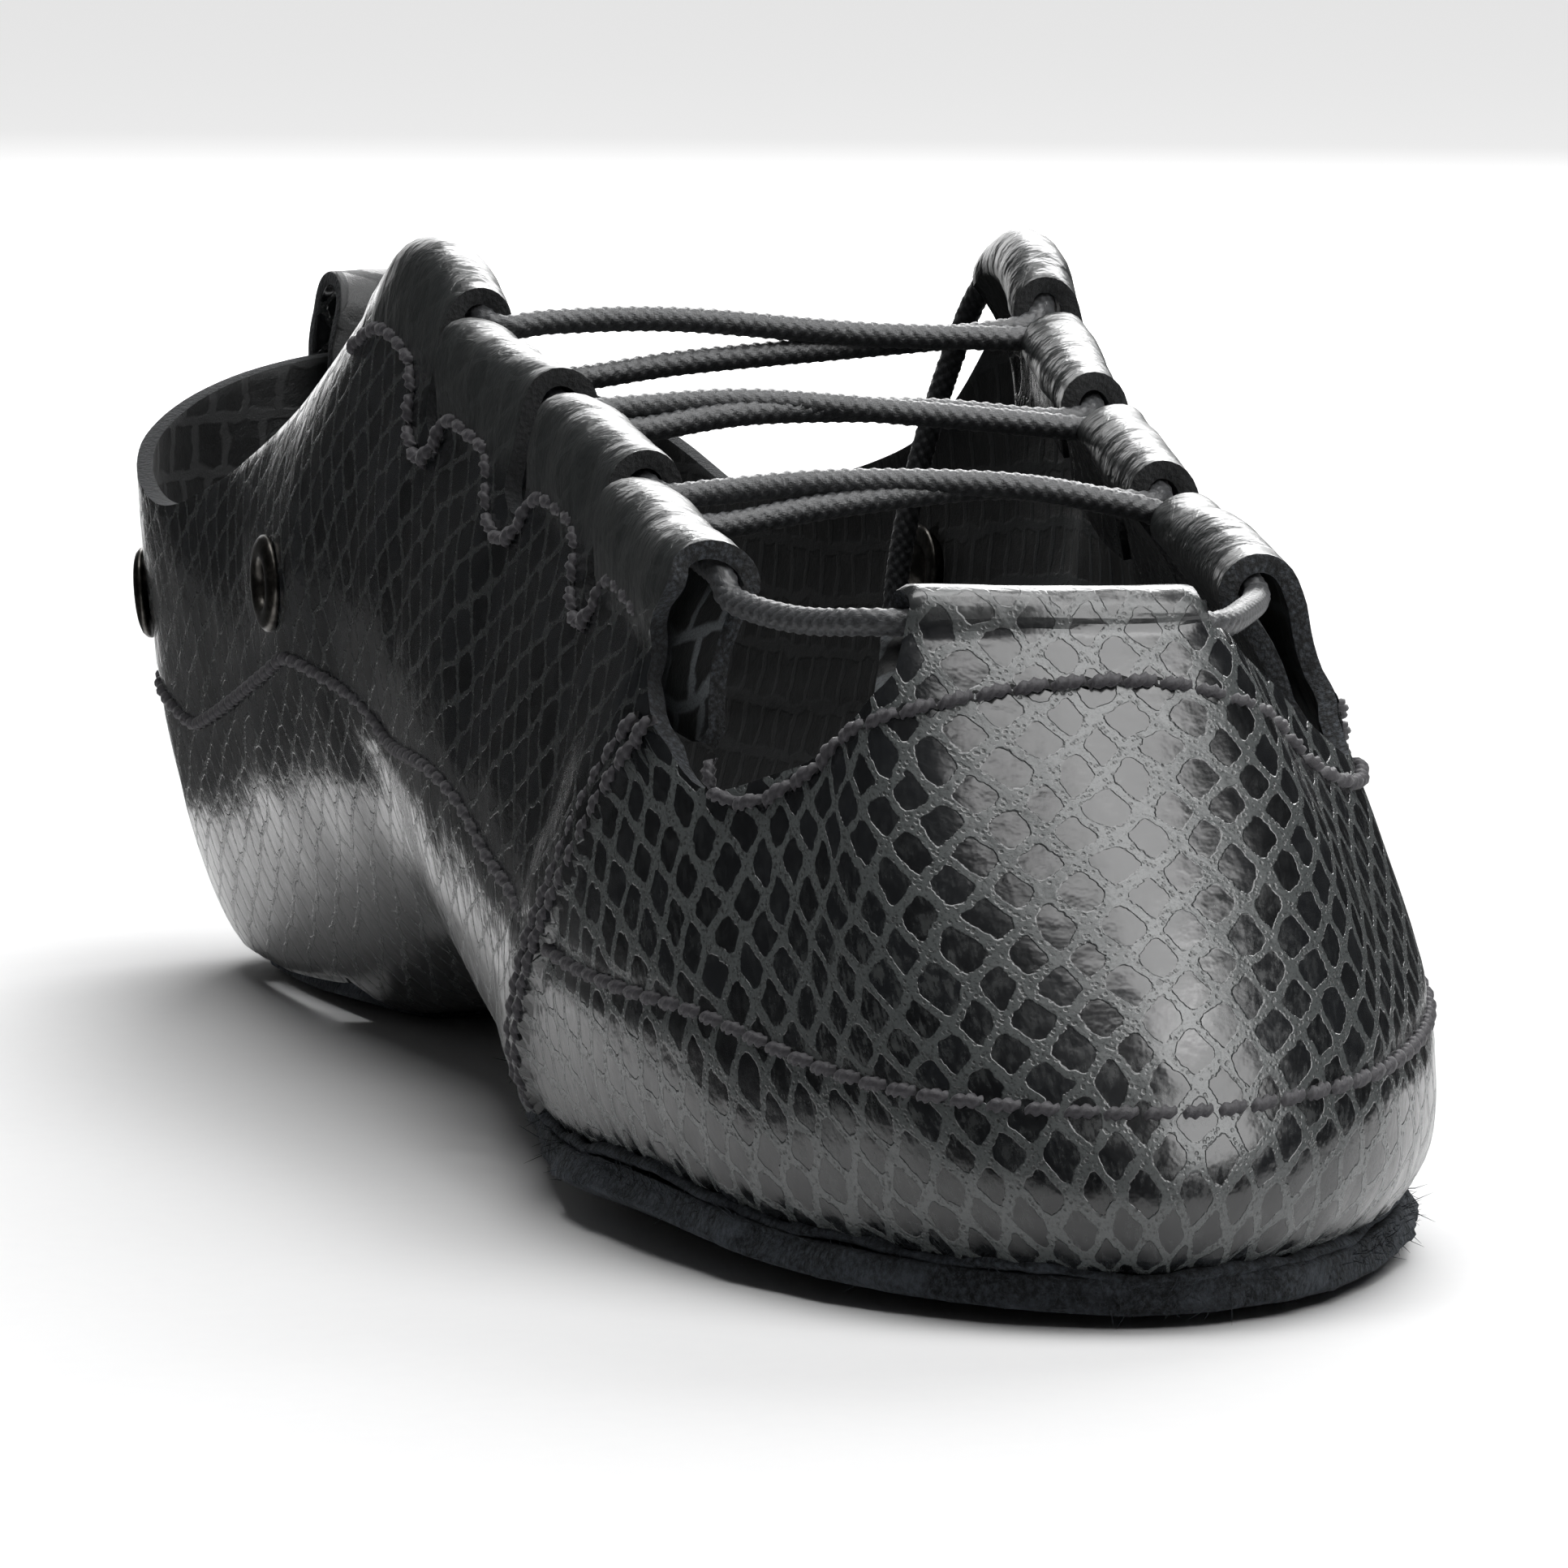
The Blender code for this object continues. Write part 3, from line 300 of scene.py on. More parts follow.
class ShoeColours(bpy.types.PropertyGroup):
    """Colours that a user would change."""

    cell: bpy.props.FloatVectorProperty(
        name="Cell", description="Glossy cells of the print", subtype="COLOR", size=4,
        default=(0.0072, 0.008, 0.0092, 1.0), min=0.0, max=1.0)
    net: bpy.props.FloatVectorProperty(
        name="Net", description="Matt net lines between the cells", subtype="COLOR", size=4,
        default=(0.042, 0.046, 0.046, 1.0), min=0.0, max=1.0)
    lining: bpy.props.FloatVectorProperty(
        name="Lining", description="Inside face of the leather", subtype="COLOR", size=4,
        default=(0.014, 0.0155, 0.0165, 1.0), min=0.0, max=1.0)
    suede: bpy.props.FloatVectorProperty(
        name="Suede", description="Sole pads and raw edges", subtype="COLOR", size=4,
        default=(0.0058, 0.0066, 0.0078, 1.0), min=0.0, max=1.0)
    thread: bpy.props.FloatVectorProperty(
        name="Thread", description="Sewing thread", subtype="COLOR", size=4,
        default=(0.028, 0.026, 0.031, 1.0), min=0.0, max=1.0)
    lace: bpy.props.FloatVectorProperty(
        name="Lace", description="Waxed lace", subtype="COLOR", size=4,
        default=(0.034, 0.036, 0.039, 1.0), min=0.0, max=1.0)
    metal: bpy.props.FloatVectorProperty(
        name="Metal", description="Eyelet metal", subtype="COLOR", size=4,
        default=(0.1, 0.094, 0.086, 1.0), min=0.0, max=1.0)


class ShoeSettings(bpy.types.PropertyGroup):
    """Everything that the operators read from the scene."""

    sizes: bpy.props.PointerProperty(type=ShoeSizes)
    colours: bpy.props.PointerProperty(type=ShoeColours)


# Surfaces

def to_frame(points):
    """Millimetres as (x, s, z) to metres as (x, y, z)."""
    points = np.asarray(points, float)
    return np.stack([points[..., 0], HEEL_REST - points[..., 1], points[..., 2]], -1) * MM


def unit(vectors):
    """Vectors scaled to length one."""
    return vectors / np.maximum(np.linalg.norm(vectors, axis=-1, keepdims=True), 1e-9)


def smooth_step(low, high, value):
    """0 below low, 1 above high, and a smooth S between."""
    share = np.clip((value - low) / (high - low), 0.0, 1.0)
    return share * share * (3.0 - 2.0 * share)


def random_field(points, size, seed):
    """Smooth random values from -1 to 1.

    Every corner of a cubic lattice of that size gets a hashed value, and a point blends the
    eight corners round it with smooth-step weights.
    """
    scaled = np.asarray(points, float) / size
    corner = np.floor(scaled).astype(np.int64)
    share = scaled - corner
    share = share * share * (3.0 - 2.0 * share)
    total = np.zeros(scaled.shape[:-1])
    for offset in itertools.product((0, 1), repeat=3):
        place = corner + np.array(offset)
        mixed = place[..., 0] * 73856093 ^ place[..., 1] * 19349663 ^ place[..., 2] * 83492791
        mixed = (mixed ^ seed * 668265263) & 0x7FFFFFFF
        mixed = (mixed ^ mixed >> 13) * 1274126177 & 0x7FFFFFFF
        value = (mixed ^ mixed >> 15) / 0x7FFFFFFF * 2.0 - 1.0
        weight = np.where(np.array(offset) == 1, share, 1.0 - share).prod(-1)
        total += value * weight
    return total


def closed_spline(knots, values, period, where):
    """Smooth closed curve (periodic cubic spline) through values at knots, read at where."""
    count = len(knots)
    gaps = np.diff(np.append(knots, knots[0] + period))
    before = np.roll(gaps, 1)
    system = np.diag(2.0 * (before + gaps))
    index = np.arange(count)
    system[index, index - 1] = before
    system[index, (index + 1) % count] = gaps
    slopes = (np.roll(values, -1, 0) - values) / gaps[:, None]
    bends = np.linalg.solve(system, 6.0 * (slopes - np.roll(slopes, 1, 0)))
    where = np.mod(np.asarray(where, float) - knots[0], period) + knots[0]
    row = np.clip(np.searchsorted(knots, where, side="right") - 1, 0, count - 1)
    after = (row + 1) % count
    gap = gaps[row][:, None]
    left = (where - knots[row])[:, None]
    right = gap - left
    cubic = (bends[row] * right ** 3 + bends[after] * left ** 3) / (6.0 * gap)
    start = (values[row] / gap - bends[row] * gap / 6.0) * right
    end = (values[after] / gap - bends[after] * gap / 6.0) * left
    return cubic + start + end


class Shell:
    """The outer face of the upper as a function of the place round the shoe and the height."""

    def __init__(self):
        self.names = [row[0] for row in SECTIONS]
        self.values = np.array([row[1:] for row in SECTIONS], float)
        middles = 0.5 * (self.values[:, 0:2] + self.values[:, 3:5])
        steps = np.linalg.norm(np.roll(middles, -1, 0) - middles, axis=1)
        self.knots = np.concatenate([[0.0], np.cumsum(steps)[:-1]])
        self.round = float(steps.sum())
        self.tip = self.knot("toe tip")

    def rows(self, places):
        """The nine section values at each place round the shoe."""
        return closed_spline(self.knots, self.values, self.round, places)

    def knot(self, name):
        """The place of a named section."""
        return self.knots[self.names.index(name)]

    def place_at(self, s, side):
        """The places on one side whose crest is s along the shoe."""
        low = 0.0 if side == INNER else self.knot(STRAP_ENDS[OUTER])
        high = self.knot(STRAP_ENDS[INNER]) if side == INNER else self.round
        fine = np.linspace(low, high, 1200)[::-side]
        crest = np.maximum.accumulate(self.rows(fine)[:, 4])
        return np.interp(s, crest, fine)

    def foot_place(self, s, side):
        """The places on one side whose foot is s along the shoe."""
        low = 0.0 if side == INNER else self.tip
        high = self.tip if side == INNER else self.round
        fine = np.linspace(low, high, 1200)[::-side]
        foot = np.maximum.accumulate(self.rows(fine)[:, 1])
        return np.interp(s, foot, fine)

    def wall(self, places, heights):
        """Points of the wall, a row of heights for each place.

        Each section is a cubic from the foot to the crest. Its inner control points stand out
        from the foot by the belly and from the crest by the shoulder. The cubic's height is
        solved for the height asked for with a table and two Newton steps.
        """
        row = self.rows(places)
        foot = row[:, 0:3]
        crest = row[:, 3:6]
        along = unit((self.rows(places + 0.5) - self.rows(places - 0.5))[:, 0:2])
        outward = np.stack([-along[:, 1], along[:, 0], 0.0 * along[:, 0]], -1)
        rise = (crest[:, 2] - foot[:, 2])[:, None] * np.array([[0.0, 0.0, 1.0]])
        low = foot + outward * row[:, 6:7] + LOW_LIFT * rise
        high = crest + outward * row[:, 7:8] - HIGH_DROP * rise
        a = foot[:, None]
        b = 3.0 * (low - foot)[:, None]
        c = 3.0 * (high - 2.0 * low + foot)[:, None]
        d = (crest - 3.0 * high + 3.0 * low - foot)[:, None]
        steps = np.linspace(0.0, 1.0, WALL_TABLE)[None, :]
        table = a[..., 2] + b[..., 2] * steps + c[..., 2] * steps ** 2 + d[..., 2] * steps ** 3
        cell = (table[:, None, :] <= heights[:, :, None]).sum(-1).clip(1, WALL_TABLE - 1) - 1
        start = np.take_along_axis(table, cell, 1)
        end = np.take_along_axis(table, cell + 1, 1)
        t = (cell + (heights - start) / (end - start)) / (WALL_TABLE - 1)
        t = np.clip(t, 0.0, 1.0)
        for _ in range(2):
            miss = a[..., 2] + b[..., 2] * t + c[..., 2] * t ** 2 + d[..., 2] * t ** 3 - heights
            slope = b[..., 2] + 2.0 * c[..., 2] * t + 3.0 * d[..., 2] * t ** 2
            t = np.clip(t - miss / slope, 0.0, 1.0)
        t = t[..., None]
        return a + b * t + c * t ** 2 + d * t ** 3

    def normals(self, places, heights):
        """Outward unit normals of the wall, by finite differences."""
        step = 0.4
        ahead = self.wall(places + step, heights)
        behind = self.wall(places - step, heights)
        above = self.wall(places, heights + step)
        below = self.wall(places, heights - step)
        return unit(np.cross(above - below, ahead - behind))

    def near(self, points):
        """Places and heights on the wall for points (x, s, z); off the toe, x tells the side."""
        points = np.asarray(points, float)
        fine = np.linspace(0.0, self.round, 1800, endpoint=False)
        heights = np.broadcast_to(points[None, :, 2], (len(fine), len(points)))
        found = self.wall(fine, heights)
        weight = np.where(points[:, 1] > 205.0, 1.0, 0.02)[None, :]
        miss = (found[..., 1] - points[None, :, 1]) ** 2
        miss += weight * (found[..., 0] - points[None, :, 0]) ** 2
        wrong = (np.sign(points[:, 0])[None, :] * found[..., 0] < -3.0) & (points[:, 0] != 0.0)
        return fine[np.argmin(miss + 1e6 * wrong, axis=0)], points[:, 2]


SHELL = Shell()


def grid_faces(columns, rows, closed=False):
    """Quads of a grid whose vertices run column by column, as an array (column, row, 4)."""
    last = columns if closed else columns - 1
    column = np.arange(last)[:, None]
    after = (column + 1) % columns
    row = np.arange(rows - 1)[None, :]
    a = column * rows + row
    b = after * rows + row
    return np.stack([a, b, b + 1, a + 1], -1)


def tube_faces(rings, sides, joined=False):
    """Quads of a tube whose vertices run ring by ring; joined ties its last ring to its first.

    They face outwards once to_frame has mirrored them, where the sides turn from a spoke to
    the heading's cross product with that spoke.
    """
    ring = np.arange(rings if joined else rings - 1)[:, None] * sides
    after = (ring + sides) % (rings * sides)
    side = np.arange(sides)[None, :]
    turn = (side + 1) % sides
    return np.stack([ring + side, after + side, after + turn, ring + turn], -1).reshape(-1, 4)


def cap_faces(rings, sides):
    """Triangles that close a tube's ends, from two middle points that follow its vertices."""
    side = np.arange(sides)
    turn = (side + 1) % sides
    total = rings * sides
    near = np.stack([np.full(sides, total), side, turn], -1)
    far = np.stack([np.full(sides, total + 1), turn + total - sides, side + total - sides], -1)
    return np.vstack([near, far])


def repeat_faces(one, copies, size):
    """The faces of one shape for that many copies of it, each with size vertices."""
    return (one[None] + (np.arange(copies) * size)[:, None, None]).reshape(-1, one.shape[-1])


def spokes(flat, high, count):
    """Unit vectors round an axis, count of them, turning from flat to high."""
    angle = (2.0 * math.pi * np.arange(count) / count)[:, None]
    return flat[..., None, :] * np.cos(angle) + high[..., None, :] * np.sin(angle)


def new_mesh(name, points, faces, materials):
    """A mesh from points in metres and one array of faces, or a tuple of arrays."""
    blocks = faces if isinstance(faces, tuple) else (faces,)
    mesh = bpy.data.meshes.new(name)
    polygons = [face for part in blocks for face in part.tolist()]
    mesh.from_pydata(np.asarray(points).tolist(), [], polygons)
    for material in materials:
        mesh.materials.append(material)
    return mesh


def new_object(name, data):
    """An object of the scene for a mesh, a light or a camera."""
    thing = bpy.data.objects.new(name, data)
    bpy.context.scene.collection.objects.link(thing)
    return thing


def add_piece(name, points, faces, materials, uv=None):
    """A smooth mesh object on body root from points in metres, with UVs for each face corner."""
    mesh = new_mesh(name, points, faces, materials)
    if uv is not None:
        layer = mesh.uv_layers.new(name="surface")
        layer.data.foreach_set("uv", np.asarray(uv, np.float32).ravel())
    mesh.polygons.foreach_set("use_smooth", np.ones(len(mesh.polygons), bool))
    mesh.update()
    piece = new_object(name, mesh)
    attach(piece, "root")
    return piece


def keep_values(piece, name, values):
    """Keep a number at each vertex of a piece, for its material to read."""
    layer = piece.data.attributes.new(name, "FLOAT", "POINT")
    layer.data.foreach_set("value", np.asarray(values, np.float32))


def give_thickness(piece, thickness, offset, edge=0.0, inside=0, rim=0):
    """Solidify a skin by metres and round its cut edges a little."""
    solid = piece.modifiers.new("thickness", "SOLIDIFY")
    solid.thickness = thickness
    solid.offset = offset
    solid.use_even_offset = False
    solid.material_offset = inside
    solid.material_offset_rim = rim
    if edge > 0.0:
        bevel = piece.modifiers.new("cut edge", "BEVEL")
        bevel.width = edge
        bevel.segments = 2
        bevel.limit_method = "ANGLE"
        bevel.angle_limit = math.radians(55.0)
    return piece


def settle(piece):
    """Replace a piece's mesh by the one that its modifiers make."""
    graph = bpy.context.evaluated_depsgraph_get()
    made = bpy.data.meshes.new_from_object(piece.evaluated_get(graph))
    piece.modifiers.clear()
    piece.data = made
    return piece


def move_along_normals(piece, amount):
    """Move each vertex along its normal by amount(points in mm), given in mm."""
    mesh = piece.data
    points = np.empty(len(mesh.vertices) * 3, np.float32)
    normals = np.empty(len(mesh.vertices) * 3, np.float32)
    mesh.vertices.foreach_get("co", points)
    mesh.vertex_normals.foreach_get("vector", normals)
    points = points.reshape(-1, 3).astype(float)
    normals = normals.reshape(-1, 3)
    points += normals * (amount(points / MM, normals) * MM)[:, None]
    mesh.vertices.foreach_set("co", points.astype(np.float32).ravel())
    mesh.update()


def stand_on_floor(piece):
    """Flatten whatever reaches below the floor."""
    points = np.empty(3 * len(piece.data.vertices), np.float32)
    piece.data.vertices.foreach_get("co", points)
    points[2::3] = np.maximum(points[2::3], 0.0)
    piece.data.vertices.foreach_set("co", points)
    piece.data.update()


def smooth_curve(points, spacing):
    """A Catmull-Rom curve through points, read at equal spacing in the points' own unit."""
    points = np.asarray(points, float)
    padded = np.vstack([2 * points[0] - points[1], points, 2 * points[-1] - points[-2]])
    a, b, c, d = (padded[i:len(padded) - 3 + i, None] for i in range(4))
    t = np.linspace(0.0, 1.0, 24, endpoint=False)[None, :, None]
    fine = 0.5 * (2 * b + (c - a) * t + (2 * a - 5 * b + 4 * c - d) * t ** 2
                  + (3 * b - a - 3 * c + d) * t ** 3)
    fine = np.vstack([fine.reshape(-1, points.shape[1]), points[-1]])
    return equal_steps(fine, spacing)


def run_length(points):
    """Length along a polyline up to each of its points."""
    return np.append(0.0, np.cumsum(np.linalg.norm(np.diff(points, axis=0), axis=1)))


def equal_steps(fine, spacing, values=None):
    """Values kept along a polyline, or else its points, read at equal steps near spacing."""
    values = fine if values is None else values
    length = run_length(fine)
    marks = np.linspace(0.0, length[-1], max(int(round(length[-1] / spacing)), 1) + 1)
    return np.stack([np.interp(marks, length, column) for column in values.T], -1)


# Materials

class Nodes:
    """Short ways to add and link the nodes of one material."""

    def __init__(self, name):
        self.material = bpy.data.materials.new(name)
        self.material.use_nodes = True
        self.tree = self.material.node_tree
        self.shader = self.tree.nodes["Principled BSDF"]

    def plug(self, socket, value):
        """Link a socket, or set its constant."""
        if isinstance(value, bpy.types.NodeSocket):
            self.tree.links.new(value, socket)
        elif value is not None:
            socket.default_value = value

    def add(self, kind, inputs=(), output=0, **settings):
        """One node with settings and inputs by index or name; gives its output socket."""
        node = self.tree.nodes.new(kind)
        for key, value in settings.items():
            setattr(node, key, value)
        for key, value in dict(inputs).items():
            self.plug(node.inputs[key], value)
        return node.outputs[output]

    def maths(self, operation, a, b=0.0, c=0.0):
        """A Math node."""
        return self.add("ShaderNodeMath", {0: a, 1: b, 2: c}, operation=operation)

    def vector(self, operation, a, b=(0.0, 0.0, 0.0)):
        """A Vector Math node that gives a vector."""
        return self.add("ShaderNodeVectorMath", {0: a, 1: b}, operation=operation)

    def dot(self, a, b):
        """The dot product of two vectors."""
        return self.add("ShaderNodeVectorMath", {0: a, 1: b}, 1, operation="DOT_PRODUCT")

    def noise(self, vector, scale, detail=2.0, roughness=0.5, output=0):
        """Noise at that many waves a millimetre or a metre, as the vector is."""
        return self.add("ShaderNodeTexNoise", {"Vector": vector, "Scale": scale, "Detail": detail,
                                               "Roughness": roughness}, output)

    def cells(self, vector, scale):
        """Distance from the middles of Voronoi cells."""
        return self.add("ShaderNodeTexVoronoi", {"Vector": vector, "Scale": scale})

    def times(self, *parts):
        """The product of several numbers."""
        return functools.reduce(lambda a, b: self.maths("MULTIPLY", a, b), parts)

    def total(self, *parts):
        """The sum of several numbers."""
        return functools.reduce(lambda a, b: self.maths("ADD", a, b), parts)

    def off_middle(self, value):
        """How far a value lies from the middle of its whole step."""
        return self.maths("ABSOLUTE", self.maths("SUBTRACT", self.maths("FRACT", value), 0.5))

    def drift(self, moved, read, scale, detail, reach):
        """A flat vector pushed about, up to half of reach, by noise read at another vector."""
        push = self.vector("SUBTRACT", self.noise(read, scale, detail, output=1), (0.5, 0.5, 0.5))
        return self.vector("ADD", moved, self.vector("MULTIPLY", push, (reach, reach, 0.0)))

    def ramp(self, value, low, high, to_low=0.0, to_high=1.0):
        """Smooth step of value between low and high, onto to_low and to_high."""
        return self.add("ShaderNodeMapRange", {0: value, 1: low, 2: high, 3: to_low, 4: to_high},
                        interpolation_type="SMOOTHSTEP")

    def mix(self, share, a, b):
        """A colour between a and b."""
        return self.add("ShaderNodeMix", {0: share, 6: a, 7: b}, 2, data_type="RGBA")

    def blend(self, share, a, b):
        """A number between a and b."""
        return self.add("ShaderNodeMix", {0: share, 2: a, 3: b}, 0, data_type="FLOAT")

    def surface(self):
        """The piece's own UV map, in millimetres."""
        return self.add("ShaderNodeUVMap", uv_map="surface")

    def place(self):
        """Object coordinates in millimetres."""
        point = self.add("ShaderNodeTexCoord", output=3)
        return self.vector("MULTIPLY", point, (1000.0, 1000.0, 1000.0))

    def attribute(self, name):
        """A number that the mesh keeps at each vertex."""
        return self.add("ShaderNodeAttribute", output=2, attribute_name=name)

    def finish(self, colour, roughness, height=None, **constants):
        """Plug colour, roughness and a height in millimetres into the shader."""
        self.plug(self.shader.inputs["Base Color"], colour)
        self.plug(self.shader.inputs["Roughness"], roughness)
        for key, value in constants.items():
            self.shader.inputs[key.replace("_", " ")].default_value = value
        if height is not None:
            bump = self.add("ShaderNodeBump", {"Strength": 1.0, "Distance": MM, "Height": height})
            self.plug(self.shader.inputs["Normal"], bump)
        return self.material


def scaled(colour, factor):
    """A colour made lighter or darker."""
    return (*[min(1.0, part * factor) for part in colour[:3]], 1.0)


def print_leather(settings):
    """Glossy rounded diamond cells on a matt, pitted net.

    A cell is where the superellipse of two slanting counts is under its edge. The mesh says
    where it is scuffed (worn), where the net is paler (front of the side seam) and where the
    leather is rolled, plain and drawn into fine wrinkles. The paler net in front of the side seam
    is partly the toe panel's own tone and partly painted light on the toe and painted shade on
    the quarter. The plain tone on the strap's top roll is partly painted light. A thin dark
    outline round each cell is painted shade at its step.
    """
    sizes, colours = settings.sizes, settings.colours
    make = Nodes("print leather")
    flat = make.surface()
    warped = make.drift(flat, flat, 0.16, 2.0, 2.6)
    warped = make.drift(warped, flat, 1.3, 2.0, 0.5)
    across, up = MM / sizes.cell_width, MM / sizes.cell_height
    first = make.dot(warped, (across, up, 0.0))
    second = make.dot(warped, (across, -up, 0.0))
    powers = [make.maths("POWER", make.off_middle(way), 4.5) for way in (first, second)]
    reach = make.maths("POWER", make.maths("ADD", *powers), 1.0 / 4.5)
    index = make.add("ShaderNodeCombineXYZ", {0: make.maths("FLOOR", first),
                                              1: make.maths("FLOOR", second)})
    chance = make.add("ShaderNodeTexWhiteNoise", {"Vector": index}, noise_dimensions="2D")
    front = make.attribute("front")
    rolled = make.attribute("rolled")
    worn = make.attribute("worn")
    edge = make.total(make.blend(front, 0.415, 0.368), make.times(chance, 0.035))
    beyond = make.maths("SUBTRACT", reach, edge)
    net = make.ramp(beyond, -0.018, 0.018)
    rim = make.ramp(make.maths("ABSOLUTE", beyond), 0.0, 0.045, 1.0, 0.0)
    patches = make.noise(flat, 0.45, 4.0, 0.65)
    streaks = make.noise(make.vector("MULTIPLY", flat, (1.0, 0.35, 1.0)), 1.9, 4.0, 0.7)
    rubbed = make.times(worn, make.ramp(make.times(patches, streaks), 0.2, 0.36))
    pitted = make.ramp(make.cells(flat, 2.1), 0.18, 0.42)
    grain = make.noise(flat, 3.4, 4.0, 0.7)
    shade = make.times(make.blend(pitted, 0.3, 1.1), make.ramp(grain, 0.3, 0.7, 0.2, 1.8))
    # Net paler in front of the side seam: partly the toe panel's own tone, partly painted light on
    # the toe and painted shade on the quarter.
    light = make.mix(front, scaled(colours.net, 0.85), scaled(colours.net, 2.0))
    net_colour = make.mix(shade, scaled(colours.net, 0.3), light)
    cell_colour = make.mix(chance, scaled(colours.cell, 0.6), scaled(colours.cell, 1.5))
    cell_colour = make.mix(rubbed, cell_colour, scaled(colours.net, 1.1))
    colour = make.mix(net, cell_colour, net_colour)
    # Thin dark outline round each cell: painted shade at the step between cell and net.
    colour = make.mix(make.times(rim, 0.08), colour, scaled(colours.cell, 0.5))
    colour = make.mix(make.times(rolled, 0.7), colour, scaled(colours.net, 0.75))
    cell_rough = make.blend(rubbed, make.blend(make.noise(flat, 0.7, 3.0), 0.13, 0.24), 0.45)
    roughness = make.blend(net, cell_rough, make.blend(pitted, 0.37, 0.27))
    roughness = make.blend(rolled, roughness, 0.34)
    dome = make.times(reach, reach, -0.05)
    height = make.total(make.times(net, 0.012), dome, make.times(net, pitted, 0.028))
    height = make.times(height, make.blend(rolled, 1.0, 0.3))
    drawn = make.noise(make.vector("MULTIPLY", make.place(), (0.5, 1.0, 0.65)), 0.27, 4.0, 0.5)
    height = make.total(height, make.times(drawn, make.blend(rolled, 0.0, 0.9)),
                        make.times(make.noise(flat, 0.42, 3.0), 0.1),
                        make.times(grain, net, 0.016))
    return make.finish(colour, roughness, height, IOR=1.7)


def lining_leather(settings):
    """Inside face of the leather: the print in dull dark bricks between greyer lines.

    Each course of bricks is moved on by half a brick, and the lines clear towards the toe: there
    they are painted light, and towards the heel they fade out as painted shade.
    """
    colours = settings.colours
    make = Nodes("leather inside")
    flat = make.surface()
    warped = make.drift(flat, flat, 0.25, 3.0, 2.4)
    up = make.dot(warped, (-0.068, 0.188, 0.0))
    half_bricks = make.times(make.maths("FLOOR", up), 0.5)
    along = make.total(make.dot(warped, (0.24, 0.087, 0.0)), half_bricks)
    sides = [make.off_middle(way) for way in (along, up)]
    net = make.ramp(make.maths("MAXIMUM", *sides), 0.35, 0.43)
    blotch = make.noise(flat, 0.35, 4.0, 0.65)
    nap = make.noise(flat, 6.0, 3.0, 0.7)
    base = make.mix(make.ramp(blotch, 0.3, 0.7), scaled(colours.lining, 0.4),
                    scaled(colours.lining, 1.1))
    # Lines clear towards the toe as painted light and fade out towards the heel as painted shade.
    clear = make.ramp(make.dot(make.place(), (0.0, -1.0, 0.0)), 40.0, 120.0, 0.07, 1.0)
    lines = make.times(net, clear, make.ramp(nap, 0.2, 0.6))
    colour = make.mix(lines, base, scaled(colours.lining, 8.5))
    height = make.total(make.times(nap, 0.05), make.times(net, 0.05), make.times(blotch, 0.16))
    return make.finish(colour, make.blend(net, 0.36, 0.62), height, Sheen_Weight=0.08)


def raw_edge(settings):
    """Cut leather fibre: streaky dark grey, with paler fuzz on the edges towards the toe: painted
    light on those lit edges, and darker edges behind as painted shade.
    """
    colours = settings.colours
    make = Nodes("raw cut edge")
    place = make.place()
    fibres = make.noise(place, 3.2, 4.0, 0.75)
    tufts = make.cells(place, 2.1)
    shade = make.ramp(make.total(fibres, make.times(tufts, -0.35)), 0.2, 0.62)
    ahead = make.dot(place, (0.0, -1.0, 0.0))
    # Edges towards the toe get a light fuzz: painted light on those lit edges, darker edges behind
    # as painted shade.
    lit_fuzz = make.mix(make.ramp(ahead, 150.0, 163.0), scaled(colours.suede, 2.08),
                    scaled(colours.suede, 14.3))
    colour = make.mix(shade, scaled(colours.suede, 0.7), lit_fuzz)
    height = make.total(make.times(fibres, 0.22), make.times(tufts, 0.16))
    return make.finish(colour, 0.93, height, Sheen_Weight=0.12, Sheen_Roughness=0.45,
                       Sheen_Tint=(0.75, 0.8, 0.85, 1.0))


def suede_material(settings):
    """Napped suede with matted tufts, and patches of grey rub spread by noise."""
    colours = settings.colours
    make = Nodes("suede")
    place = make.place()
    nap = make.noise(place, 2.6, 5.0, 0.72)
    tufts = make.cells(place, 1.5)
    matted = make.noise(place, 0.16, 4.0, 0.6)
    shade = make.ramp(make.total(nap, make.times(tufts, -0.25)), 0.2, 0.6)
    colour = make.mix(shade, scaled(colours.suede, 0.6), scaled(colours.suede, 10.0))
    colour = make.mix(make.ramp(matted, 0.42, 0.72, 0.0, 0.6), colour,
                      scaled(colours.suede, 17.0))
    lumps = make.noise(place, 0.7, 3.0, 0.6)
    height = make.total(make.times(nap, 0.3), make.times(tufts, 0.2), make.times(lumps, 0.8))
    return make.finish(colour, 0.96, height, Sheen_Weight=0.12, Sheen_Roughness=0.4,
                       Sheen_Tint=(0.7, 0.78, 0.85, 1.0), Specular_IOR_Level=0.2)


def thread_material(settings):
    """Twisted waxed sewing thread."""
    make = Nodes("sewing thread")
    place = make.place()
    fuzz = make.noise(place, 5.0, 3.0, 0.7)
    colour = make.mix(fuzz, scaled(settings.colours.thread, 0.4),
                      scaled(settings.colours.thread, 2.1))
    return make.finish(colour, 0.55, make.times(fuzz, 0.06), Sheen_Weight=0.2)


def hole_material(settings):
    """Shadowed leather inside a needle hole."""
    make = Nodes("needle hole")
    grain = make.noise(make.place(), 4.0, 2.0)
    colour = make.mix(grain, scaled(settings.colours.cell, 0.2), scaled(settings.colours.cell, 0.5))
    return make.finish(colour, 0.9, make.times(grain, 0.03))


